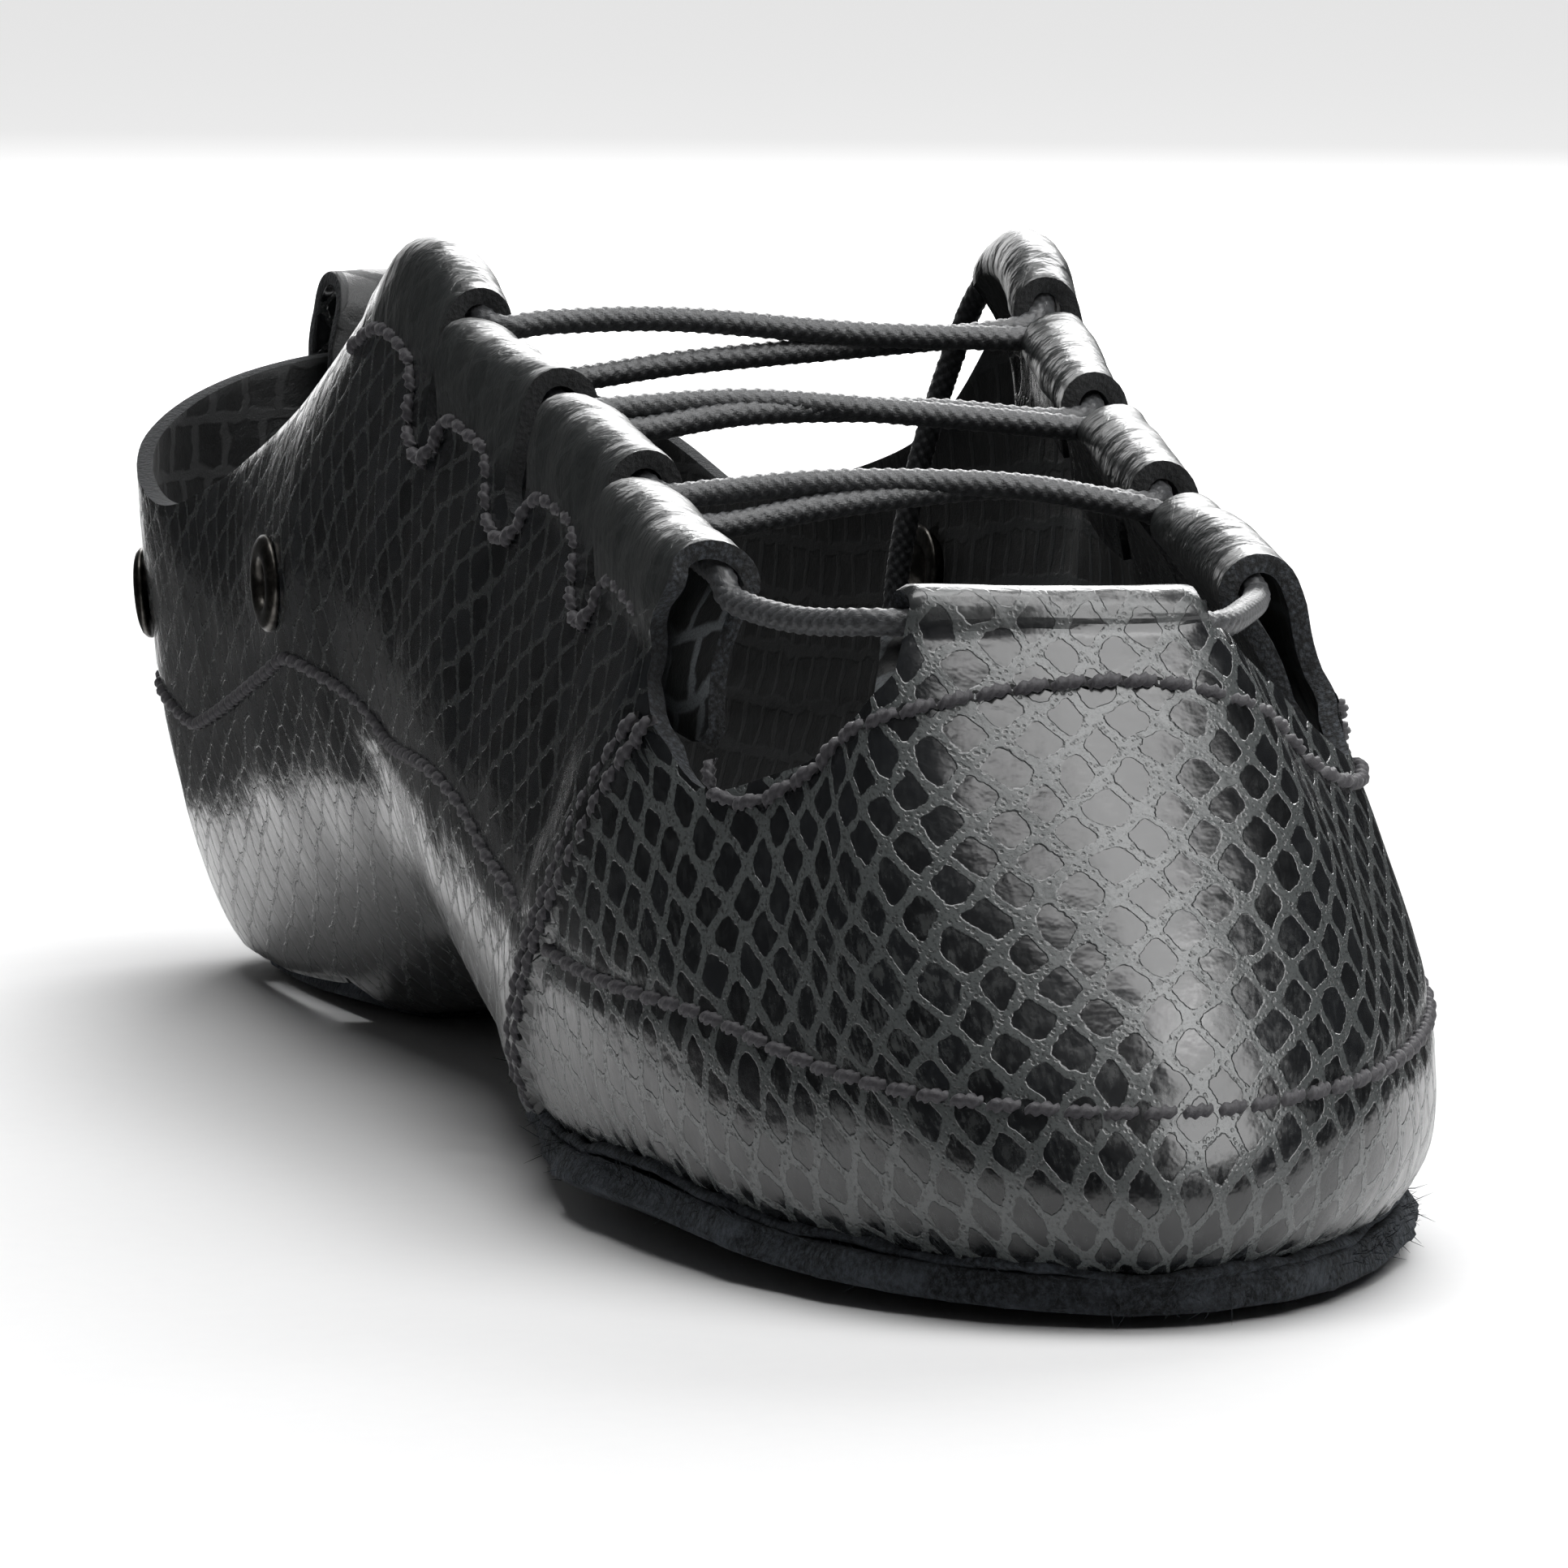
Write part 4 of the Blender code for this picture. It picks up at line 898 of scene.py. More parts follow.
def lace_material(settings):
    """Waxed braid: yarns with fine filaments, darker where the mesh says that they lie low, as
    painted shade in the braid's crevices.
    """
    colours = settings.colours
    make = Nodes("waxed braid")
    flat = make.surface()
    proud = make.attribute("proud")
    filaments = make.noise(make.vector("MULTIPLY", flat, (1.0, 0.5, 1.0)), 7.0, 2.0, 0.6)
    wax = make.noise(flat, 0.5, 3.0, 0.6)
    # Darker where the yarns lie low: painted shade in the braid's crevices.
    colour = make.mix(proud, scaled(colours.lace, 0.22), scaled(colours.lace, 1.7))
    colour = make.mix(make.ramp(filaments, 0.45, 0.75, 0.0, 0.5), colour,
                      scaled(colours.lace, 2.6))
    height = make.times(filaments, 0.05)
    return make.finish(colour, make.blend(wax, 0.3, 0.5), height, IOR=1.6, Sheen_Weight=0.15)


def metal_material(settings):
    """Dark bronzed eyelet metal with rubbed high spots."""
    make = Nodes("eyelet metal")
    place = make.place()
    rub = make.noise(place, 0.8, 4.0, 0.6)
    fine = make.noise(place, 5.0, 2.0)
    colour = make.mix(make.ramp(rub, 0.4, 0.65), scaled(settings.colours.metal, 0.6),
                      scaled(settings.colours.metal, 1.5))
    return make.finish(colour, make.blend(fine, 0.26, 0.42), make.times(fine, 0.01),
                       Metallic=1.0)


def insole_material(settings):
    """Smooth dark sock leather, fine grained, with the dull tread of a foot."""
    colours = settings.colours
    make = Nodes("insole leather")
    place = make.place()
    pores = make.cells(place, 1.6)
    grain = make.noise(place, 2.4, 4.0, 0.6)
    tread = make.noise(place, 0.05, 3.0, 0.5)
    colour = make.mix(make.ramp(tread, 0.35, 0.65), scaled(colours.lining, 0.7),
                      scaled(colours.lining, 1.25))
    colour = make.mix(make.ramp(pores, 0.1, 0.3, 0.5, 0.0), colour, scaled(colours.lining, 0.3))
    height = make.total(make.times(grain, 0.08), make.times(make.ramp(pores, 0.05, 0.3), 0.05))
    return make.finish(colour, make.blend(tread, 0.5, 0.7), height)


def aglet_material(settings):
    """Clear black sleeve at the lace's tip."""
    make = Nodes("lace tip")
    cloud = make.noise(make.place(), 1.2, 2.0)
    colour = make.mix(cloud, scaled(settings.colours.lace, 0.5), scaled(settings.colours.lace, 1.4))
    return make.finish(colour, make.blend(cloud, 0.2, 0.34), make.times(cloud, 0.02),
                       Coat_Weight=0.4)


# Upper

def upper_columns():
    """Places round the shoe, the kind of the stretch after each, and the dip of each slot foot."""
    places, kinds, dips = [], [], []

    def stretch(start, end, kind):
        """Even steps, or cosine steps with a half ellipse of dips in a slot."""
        share = np.arange(COLUMNS[kind]) / COLUMNS[kind]
        if kind == "slot":
            share = 0.5 - 0.5 * np.cos(math.pi * share)
        places.append(start + (end - start) * share)
        kinds.append(np.full(len(share), kind))
        depth = SLOT_RADIUS if kind == "slot" else 0.0
        dips.append(depth * np.sqrt(np.maximum(1.0 - (2.0 * share - 1.0) ** 2, 0.0)))

    marks = {}
    for side in (INNER, OUTER):
        edges = np.array(LOOPS).ravel()
        found = SHELL.place_at(edges, side)
        back = 0.0 if side == INNER else SHELL.round
        spans = [("wall", back, found[0])]
        for number in range(len(edges) - 1):
            spans.append(("slot" if number % 2 else "loop", found[number], found[number + 1]))
        spans.append(("gap", found[-1], SHELL.knot(STRAP_ENDS[side])))
        marks[side] = spans
    for kind, start, end in marks[INNER]:
        stretch(start, end, kind)
    stretch(SHELL.knot(STRAP_ENDS[INNER]), SHELL.knot(STRAP_ENDS[OUTER]), "strap")
    for kind, start, end in marks[OUTER][::-1]:
        stretch(end, start, kind)
    return np.concatenate(places), np.concatenate(kinds), np.concatenate(dips)


def underside(places, shares, margin):
    """Points between the middle line of the foot (share 0) and the wall's foot (share 1).

    The height follows the underside table at each point's s. Past FLAT_SHARE it is lifted by
    the square of the share so that the edge meets the wall's foot.
    """
    foot = SHELL.rows(places)[:, 0:3]
    reach = np.clip(foot[:, 1], *SPINE_ENDS)
    heights = np.array(UNDERSIDE).T
    middle = np.stack([np.interp(reach, *np.array(MIDDLE_LINE).T), reach,
                       np.interp(reach, *heights)], -1)
    edge = foot.copy()
    edge[:, 0:2] += unit(foot[:, 0:2] - middle[:, 0:2]) * margin
    shares = np.broadcast_to(shares, (len(places), np.shape(shares)[-1]))[..., None]
    points = middle[:, None] + (edge - middle)[:, None] * shares
    lift = np.clip((shares[..., 0] - FLAT_SHARE) / (1.0 - FLAT_SHARE), 0.0, None) ** 2
    ground = np.interp(points[..., 1], *heights)
    points[..., 2] = ground + lift * (foot[:, 2] - np.interp(edge[:, 1], *heights))[:, None]
    return points


def fold_rows(places, straps, row, radius, swell):
    """The folded part of each loop: a half ellipse over the top and a flap down inside."""
    crest = row[:, 3:6]
    top = crest[:, 2:3]
    inward = -SHELL.normals(places, top - 0.6)[:, 0]
    inward[np.arange(len(places)), np.where(straps, 0, 1)] = 0.0
    inward = unit(inward)
    up = unit(np.stack([-inward[:, 0] * inward[:, 2], -inward[:, 1] * inward[:, 2],
                        inward[:, 0] ** 2 + inward[:, 1] ** 2], -1))
    angle = (math.pi * np.arange(1, CURL_ROWS + 1) / CURL_ROWS)[None, :, None]
    wide = radius + 0.5 * swell[:, None, None]
    curl = crest[:, None] + inward[:, None] * (wide * (1.0 - np.cos(angle)) - 2.0 * wide
                                               + 2.0 * radius)
    tall = radius + np.interp(crest[:, 1], *np.array(LOOP_LIFT).T) * ~straps
    curl = curl + up[:, None] * tall[:, None, None] * np.sin(angle)
    share = np.arange(1, FLAP_ROWS + 1)[None, :] / FLAP_ROWS
    open_front = 1.6 * smooth_step(1.2, 1.9, swell)[:, None] * share
    gap = FLAP_GAP + open_front + (2.0 * radius - FLAP_GAP) * (1.0 - share) ** 3
    flap = SHELL.wall(places, top - (FLAP_DEPTH - radius) * share)
    flap[~straps, :, 1] = crest[~straps, None, 1]
    return np.concatenate([curl, flap + inward[:, None] * gap[..., None]], 1)


def crease_depth(points, side):
    """Sum of the table's troughs and ridges: each falls off as a bell across its line."""
    depth = np.zeros(points.shape[:-1])
    flat = points[..., 1:3]
    for which, s_start, z_start, s_end, z_end, width, amount in CREASES:
        start = np.array([s_start, z_start])
        way = np.array([s_end, z_end]) - start
        share = ((flat - start) @ way) / (way @ way)
        off = flat - start - np.clip(share, 0.0, 1.0)[..., None] * way
        bell = np.exp(-(off ** 2).sum(-1) / width ** 2)
        depth += amount * bell * (side == which)
    return depth


def border_rise(row, where):
    """How far the cut-outs' border stands above an even one, by each side's table."""
    rise = np.zeros(len(row))
    for side, table in GAP_RISE.items():
        found = np.interp(row[:, 4], *np.array(table).T)
        rise += np.where(where & (row[:, 3] * side > 0.0), found, 0.0)
    return rise


def edge_slide(row, drop):
    """How far the loops' edges slide along the shoe: by the crest value, then by the low one.

    The share of each is a smooth step of how far the point lies under the crest.
    """
    crest, high_slide, low_slide = np.array(EDGE_SHIFT).T
    low = smooth_step(1.0, 5.0, drop) * smooth_step(17.0, 11.0, drop)
    high = smooth_step(9.0, 5.0, drop) * (1.0 - low)
    slide = np.interp(row[:, 4], crest, low_slide)
    slide *= np.where((row[:, 3] > 0.0) & (row[:, 4] > 186.0), 0.25, 1.0)
    return np.interp(row[:, 4], crest, high_slide)[:, None] * high + slide[:, None] * low


def upper_grid(radius):
    """The upper's outer skin as a grid of points in mm, and the last row of each column.

    Rows run from the middle of the underside out to the foot, up the wall, over the fold and
    down the flap. The underside rows reach the middle line only in the waist. The loops swell
    outwards under their crests, and tables slide their edges and lift the cut-outs' border.
    """
    places, kinds, dips = upper_columns()
    row = SHELL.rows(places)
    straps = (kinds == "strap") | (np.roll(kinds, 1) == "strap")
    waist = smooth_step(WAIST[0], WAIST[0] + WAIST_BLEND, row[:, 1])
    waist *= 1.0 - smooth_step(WAIST[1] - WAIST_BLEND, WAIST[1], row[:, 1])
    q = np.linspace(1.0, 0.0, UNDER_ROWS + 1)[None, :-1]
    reach = TUCK + HEEL_TUCK * smooth_step(HEEL_PAD_FRONT + 4.0, HEEL_PAD_FRONT - 8.0, row[:, 1])
    tuck = reach / np.linalg.norm(row[:, 0:2] - [0.0, 30.0] * (row[:, 1:2] < 30.0), axis=1)
    share = 1.0 - q * (tuck + (1.02 - tuck) * waist)[:, None]
    under = underside(places, share, 0.0)
    inset = np.linalg.norm(under[..., 0:2] - row[:, None, 0:2], axis=-1)
    lower = SEAT_GAP + (WAIST_DROP - SEAT_GAP) * waist
    under[..., 2] -= lower[:, None] * smooth_step(0.0, TUCK + 2.4 * waist[:, None], inset)
    foot = row[:, 2:3]
    near = (row[:, 4] > 196.0) & ((kinds == "gap") | straps)
    tops = (row[:, 8] - dips + border_rise(row, near))[:, None]
    panel = SHELL.wall(places, foot + (tops - foot) * np.linspace(0.0, 1.0, PANEL_ROWS)[None, :])
    rise = np.arange(1, YOKE_ROWS + 1)[None, :] / YOKE_ROWS
    start = np.where(straps[:, None], tops, row[:, 8:9])
    yoke = SHELL.wall(places, start + (row[:, 5:6] - start) * rise)
    swell = np.interp(row[:, 4], *np.array(LOOP_SWELL).T) * ~straps
    swell *= np.where(row[:, 3] > 0.0, OUTER_SWELL, 1.0)
    upright = np.concatenate([panel, yoke], 1)
    drop = row[:, 5:6] - upright[..., 2]
    upright[..., 1] += edge_slide(row, drop) * ~straps[:, None]
    outward = SHELL.normals(places, row[:, 5:6] - 0.6)[:, 0]
    upright += outward[:, None] * (swell[:, None] * smooth_step(*SWELL_DEPTH, drop))[..., None]
    fold = fold_rows(places, straps, row, radius, swell)
    crest, high_slide, _ = np.array(EDGE_SHIFT).T
    top_slide = np.interp(row[:, 4], crest, high_slide) * ~straps
    fold[:, :CURL_ROWS, 1] += top_slide[:, None] * np.linspace(1.0, 0.0, CURL_ROWS + 1)[1:]
    grid = np.concatenate([under, upright, fold], 1)
    flap = FLAP_ROWS + CURL_ROWS
    cut = {"wall": flap, "slot": flap + YOKE_ROWS, "gap": flap + YOKE_ROWS, "loop": 0, "strap": 0}
    return places, kinds, grid, np.array([grid.shape[1] - cut[kind] for kind in kinds])


def grid_normals(grid):
    """Outward normals of a closed ring of columns, from the neighbours of each point."""
    along = np.roll(grid, -1, 0) - np.roll(grid, 1, 0)
    up = np.gradient(grid, axis=1)
    return unit(np.cross(up, along))


def seam_distance(points):
    """Signed distance in mm in front of the side seam, in the plane of s and z."""
    table = np.array(SIDE_SEAM)[::-1]
    seam = np.interp(points[..., 2], table[:, 1], table[:, 0])
    return (points[..., 1] - seam) * 0.88


def toe_box(points):
    """Which points may belong to the toe box: in front of its rear end and under its tops."""
    rear, top, low_top, low_until = TOE_BOX
    s, z = points[..., 1], points[..., 2]
    return (s > rear) & (z < top) & ~((s < low_until) & (z > low_top))


def leather_relief(grid, places, foxing):
    """How far the leather stands out or in, in mm: the sum of these.

    The table's creases, soft random swells, a channel with low banks along the foxing line,
    random ripples just under the loops' crests, a roll and a hollow round the strap's tip, the
    lap behind the side seam, and drawn pleats that die away above the toe's foot.
    """
    side = np.sign(grid[..., 0])
    z = grid[..., 2]
    s = grid[..., 1]
    relief = crease_depth(grid, side)
    relief += 0.2 * random_field(grid, 11.0, 3) + 0.07 * random_field(grid, 4.6, 5)
    relief += 0.018 * random_field(grid, 2.2, 7)
    line = z - foxing[:, None]
    relief -= 0.2 * np.exp(-(line / 0.9) ** 2)
    relief += 0.06 * np.exp(-((np.abs(line) - 2.2) / 1.1) ** 2)
    near_crest = smooth_step(5.4, 2.2, SHELL.rows(places)[:, 5:6] - z) * (s > 98.0) * (s < 196.5)
    relief += 0.3 * near_crest * random_field(grid * [0.4, 1.0, 0.4], 3.2, 13)
    tip = smooth_step(17.0, 13.0, np.abs(places - SHELL.tip))[:, None] * (s > 205.0)
    relief += 0.4 * tip * np.exp(-((z - 50.8) / 1.3) ** 2)
    relief -= 0.16 * tip * np.exp(-((z - 48.3) / 0.9) ** 2)
    ahead = seam_distance(grid)
    lap = smooth_step(-0.5, 0.5, -ahead) * smooth_step(-16.0, -5.0, ahead)
    relief += 0.75 * lap * smooth_step(46.0, 38.0, z) * smooth_step(140.0, 158.0, s)
    toe = smooth_step(165.0, 200.0, s)
    lift = np.clip(z - grid[:, UNDER_ROWS, None, 2], 0.0, None)
    pleat = np.sin(2.0 * math.pi * places / 3.9 + 3.0 * random_field(grid[:, :1], 14.0, 11)[:, 0])
    relief += 0.34 * toe * pleat[:, None] * np.exp(-lift / 2.6) * smooth_step(-0.5, 0.8, lift)
    return relief


def toe_angle(places):
    """The angle of the unrolled toe cone for places: the arc low on the wall over its radius."""
    fine = SHELL.tip + np.linspace(-90.0, 90.0, 361)
    low = SHELL.wall(fine, SHELL.rows(fine)[:, 2:3] + 13.0)[:, 0]
    arc = run_length(low)
    arc -= np.interp(TOE_AXIS, fine, arc)
    return np.interp(places, fine, arc) / (TOE_RADIUS - 15.0)


def upper_uv(corner_places, corner_heights, toe, mirrored):
    """Flat pattern in mm for each face corner.

    A quarter keeps the arc along the shoe and the arc up the wall, turned by 20 degrees. The
    toe box is unrolled as a cone: the radius shrinks up the wall from TOE_RADIUS at the foot.
    """
    along = np.where(mirrored[:, None], SHELL.round - corner_places, corner_places)
    turn = math.radians(20.0)
    quarter = np.stack([along * math.cos(turn) - corner_heights * math.sin(turn),
                        along * math.sin(turn) + corner_heights * math.cos(turn)], -1)
    radius = TOE_RADIUS - corner_heights
    angle = toe_angle(corner_places)
    cone = np.stack([radius * np.sin(angle), -radius * np.cos(angle)], -1)
    return np.where(toe[:, None, None], cone, quarter)


def build_upper(settings, materials):
    """The whole leather upper as one skin with thickness."""
    places, kinds, grid, ends = upper_grid(settings.sizes.fold_radius / MM)
    count, width = grid.shape[:2]
    arc = np.linalg.norm(np.diff(grid, axis=1), axis=-1)
    heights = np.concatenate([np.zeros((count, 1)), np.cumsum(arc, 1)], 1)
    heights -= heights[:, UNDER_ROWS:UNDER_ROWS + 1]
    foxing_place, foxing_height = foxing_line()
    foxing = np.interp(places, foxing_place, foxing_height, period=SHELL.round)
    normals = grid_normals(grid)
    relief = leather_relief(grid, places, foxing)
    level = np.arange(width)[None, :]
    fade = smooth_step(0, UNDER_ROWS, level)
    grid = grid + normals * (relief * (0.25 + 0.75 * fade))[..., None]
    faces = grid_faces(count, width, closed=True)
    keep = np.arange(width - 1)[None, :] < (ends - 1)[:, None]
    quads = faces[keep]
    column = quads // width
    level = quads % width
    wrapped = (column == 0) & (column.max(1) > 1)[:, None]
    corner_places = places[column] + SHELL.round * wrapped
    corner_heights = heights[column, level]
    middle = grid.reshape(-1, 3)[quads].mean(1)
    toe = (seam_distance(middle) > 0.0) & toe_box(middle)
    mirrored = corner_places.mean(1) > SHELL.tip
    uv = upper_uv(corner_places, corner_heights, toe, mirrored)
    used = np.unique(quads)
    points = to_frame(grid.reshape(-1, 3)[used])
    piece = add_piece("upper_leather", points, np.searchsorted(used, quads), materials, uv=uv)
    flat = grid.reshape(-1, 3)
    # In front of the side seam the print's net is paler: partly the toe panel's tone, partly
    # painted light.
    front = smooth_step(-0.6, 0.6, seam_distance(flat)) * toe_box(flat)
    crest = np.repeat(SHELL.rows(places)[:, 5], width)
    rolled = smooth_step(7.5, 4.0, crest - flat[:, 2]) * np.repeat(kinds != "wall", width)
    rolled *= (flat[:, 1] > 100.0) * (flat[:, 1] < 200.0)
    # The strap's top roll takes the plain rolled tone, which also lightens it as painted light on
    # its lit top.
    strap_roll_and_light = 0.55 * smooth_step(48.6, 49.6, flat[:, 2]) * (flat[:, 1] > 205.0)
    rolled = np.maximum(rolled, strap_roll_and_light)
    for name, values in (("worn", wear(flat)), ("front", front), ("rolled", rolled)):
        keep_values(piece, name, values[used])
    give_thickness(piece, settings.sizes.leather, -1.0, edge=0.00022, inside=1, rim=2)
    cut_eyelet_holes(piece, materials[2])
    return piece


def wear(points):
    """Where the print is scuffed: a bell round each listed spot (x, s, z, size, strength)."""
    spots = ((-20.0, 225.0, 22.0, 9.0, 0.9), (-18.0, 228.0, 12.0, 8.0, 0.8),
             (-6.0, 240.0, 11.0, 9.0, 0.5), (12.0, 236.0, 10.0, 8.0, 0.6),
             (24.0, 214.0, 30.0, 8.0, 0.5), (-26.0, 200.0, 24.0, 8.0, 0.4),
             (0.0, 4.0, 12.0, 8.0, 0.5), (8.0, 236.0, 27.0, 7.0, 0.5))
    total = 0.12 * np.ones(len(points))
    for x, s, z, size, strength in spots:
        far = ((points - np.array([x, s, z])) ** 2).sum(-1)
        total += strength * np.exp(-far / size ** 2)
    return np.clip(total, 0.0, 1.0)


def cut_eyelet_holes(piece, material):
    """Cut the round holes that the eyelets sit in, with one Boolean of four short rods."""
    points = []
    for _, side, s, height in EYELETS:
        centre, axis = eyelet_axis(side, s, height)
        ends = centre + axis * np.array([[-ROD_REACH], [ROD_REACH]])
        rings = ends[:, None] + EYELET_HOLE * spokes(*unit_frame(axis), ROD_SIDES)
        points += [rings.reshape(-1, 3), ends]
    faces = tuple(repeat_faces(part, len(EYELETS), 2 * ROD_SIDES + 2)
                  for part in (tube_faces(2, ROD_SIDES), cap_faces(2, ROD_SIDES)))
    mesh = new_mesh("eyelet_rods", to_frame(np.vstack(points)), faces, [material])
    cutter = new_object("eyelet_rods", mesh)
    face_outwards(cutter)
    holes = piece.modifiers.new("holes", "BOOLEAN")
    holes.operation = "DIFFERENCE"
    holes.solver = "FAST"
    holes.object = cutter
    settle(piece)
    bpy.data.objects.remove(cutter, do_unlink=True)


def unit_frame(axis):
    """Two unit vectors square to an axis, the second one rising."""
    flat = unit(np.cross(axis, [0.0, 0.0, 1.0]))
    return flat, np.cross(flat, axis)


def eyelet_axis(side, s, height):
    """Middle and outward axis of an eyelet on the outer face of the wall."""
    place = np.array([SHELL.place_at(s, side)])
    level = np.array([[height]])
    return SHELL.wall(place, level)[0, 0], SHELL.normals(place, level)[0, 0]


# Stitching

def foxing_line():
    """The foxing's height as a table over the place round the shoe."""
    places, heights = SHELL.near(FOXING)
    order = np.argsort(places)
    return places[order], heights[order]


def wall_curve(points, closed=False):
    """Dense places and heights along a stitch line given by (x, s, z)."""
    places, heights = SHELL.near(points)
    turned = np.unwrap(places * 2.0 * math.pi / SHELL.round) * SHELL.round / (2.0 * math.pi)
    knots = np.stack([turned, heights], -1)
    if closed:
        step = SHELL.round * np.sign(turned[-1] - turned[0])
        knots = np.vstack([knots, knots[0] + [step, 0.0]])
    return smooth_curve(knots, 0.8)


def scallop_line(side):
    """The line that holds the folded flaps: under each loop, and round the foot of each slot."""
    knots = np.array(SCALLOPS)
    places = SHELL.place_at(knots[:, 0], side)
    return smooth_curve(np.stack([places, SHELL.rows(places)[:, 5] + knots[:, 1]], -1), 0.8)


def seam_lines(side):
    """The two rows of the lapped side seam."""
    return [wall_curve([(side * 28.0, s - behind, z) for s, z in SIDE_SEAM])
            for behind in SEAM_ROWS]


def stitch_ends(curve, stitch):
    """Needle holes along a curve of (place, height): points on the leather and normals."""
    fine = SHELL.wall(curve[:, 0], curve[:, 1:2])[:, 0]
    places, heights = equal_steps(fine, stitch, curve).T
    return SHELL.wall(places, heights[:, None])[:, 0], SHELL.normals(places, heights[:, None])[:, 0]


def thread_grid(starts, ends, normals, radius, sink, rise):
    """Vertices and faces of stitches: a two-ply rope from hole to hole.

    The middle of the rope rises as the sine of its share of the way, and its ends dive under
    the leather. Two lobes turn round it one and a half times.
    """
    rings, sides = 11, 10
    share = np.linspace(0.0, 1.0, rings)[None, :, None]
    arch = np.sin(math.pi * share) ** 0.4
    line = starts[:, None] + (ends - starts)[:, None] * share
    line = line + normals[:, None] * (arch * rise - sink)
    heading = unit(ends - starts)
    across = unit(np.cross(normals, heading))
    angle = (2.0 * math.pi * np.arange(sides) / sides)[None, None, :]
    lobes = 1.0 + 0.3 * np.cos(2.0 * (angle - 3.0 * math.pi * share))
    thick = radius * (0.8 + 0.2 * np.sin(math.pi * share)) * lobes
    spoke = spokes(across, normals, sides)[:, None]
    points = (line[:, :, None] + spoke * thick[..., None]).reshape(-1, 3)
    return points, repeat_faces(tube_faces(rings, sides), len(starts), rings * sides)


def hole_grid(points, normals, radius):
    """A shallow six-sided cup for each needle hole: a rim on the leather and a point below."""
    turn = unit(np.cross(normals, [0.3, 0.2, 1.0]))
    ring = spokes(turn, np.cross(normals, turn), 6)
    rim = points[:, None] + ring * radius + normals[:, None] * 0.02
    centre = points[:, None] - normals[:, None] * 0.1
    vertices = np.concatenate([rim, centre], 1).reshape(-1, 3)
    cup = np.stack([(np.arange(6) + 1) % 6, np.arange(6), np.full(6, 6)], -1)
    return vertices, repeat_faces(cup, len(points), 7)


def build_stitching(settings, materials):
    """Every visible row of stitches on the upper, and the needle holes under them."""
    sizes = settings.sizes
    lines = [(wall_curve(FOXING, closed=True), "foxing"), (wall_curve(STRAP_LINE), "strap")]
    for side in (INNER, OUTER):
        lines.append((scallop_line(side), "scallops"))
        lines += [(line, "seam") for line in seam_lines(side)]
    starts, ends, normals, holes, hole_normals = [], [], [], [], []
    for curve, kind in lines:
        points, up = stitch_ends(curve, sizes.stitch / MM)
        points = points + up * (STITCH_LIFT[kind] - 0.32)
        lean = unit(np.cross(up, np.gradient(points, axis=0))) * 0.16
        starts.append(points[:-1] + lean[:-1])
        ends.append(points[1:] - lean[1:])
        normals.append(unit(up[:-1] + up[1:]))
        holes.append(points + up * 0.08)
        hole_normals.append(up)
    points, faces = thread_grid(*[np.concatenate(part) for part in (starts, ends, normals)],
                                0.5 * sizes.thread / MM, 0.34, 0.62)
    add_piece("stitching", to_frame(points), faces, [materials["thread"]])
    points, faces = hole_grid(np.concatenate(holes), np.concatenate(hole_normals), 0.5)
    add_piece("needle_holes", to_frame(points), faces, [materials["hole"]])


# Soles and insole

def sheet_points(places, shares, margin, drop):
    """A sole layer's upper face: the underside lowered by drop."""
    points = underside(places, np.asarray(shares)[None, :], margin)
    points[..., 2] -= drop
    return points


def both_sides(stations):
    """Places on the inner and outer side for the same stations along the foot."""
    return SHELL.foot_place(stations, INNER), SHELL.foot_place(stations, OUTER)


def layer(name, places, closed, margin, drop, thickness, offset, material, edge):
    """A sole layer from strips between the middle line and the edge, welded and thickened."""
    shares = np.concatenate([np.linspace(0.0, 0.9, 13), np.linspace(0.93, 1.0, 5)])
    points = sheet_points(places, shares, margin, drop)
    count, width = points.shape[:2]
    faces = grid_faces(count, width, closed).reshape(-1, 4)
    piece = add_piece(name, to_frame(points.reshape(-1, 3)), faces, [material])
    work = bmesh.new()
    work.from_mesh(piece.data)
    bmesh.ops.remove_doubles(work, verts=work.verts, dist=0.00004)
    bmesh.ops.dissolve_degenerate(work, edges=work.edges, dist=0.00002)
    bmesh.ops.recalc_face_normals(work, faces=work.faces)
    if sum(face.normal.z for face in work.faces) < 0.0:
        bmesh.ops.reverse_faces(work, faces=work.faces)
    work.to_mesh(piece.data)
    work.free()
    give_thickness(piece, thickness * MM, offset, edge)
    return settle(piece)


def pad_margin(places):
    """How far the forefoot pad stands out past the leather: not at all towards the waist."""
    ahead = smooth_step(152.0, 180.0, SHELL.rows(places)[:, 1:2])
    return PAD_RIM * ahead - 0.9 * (1.0 - ahead)


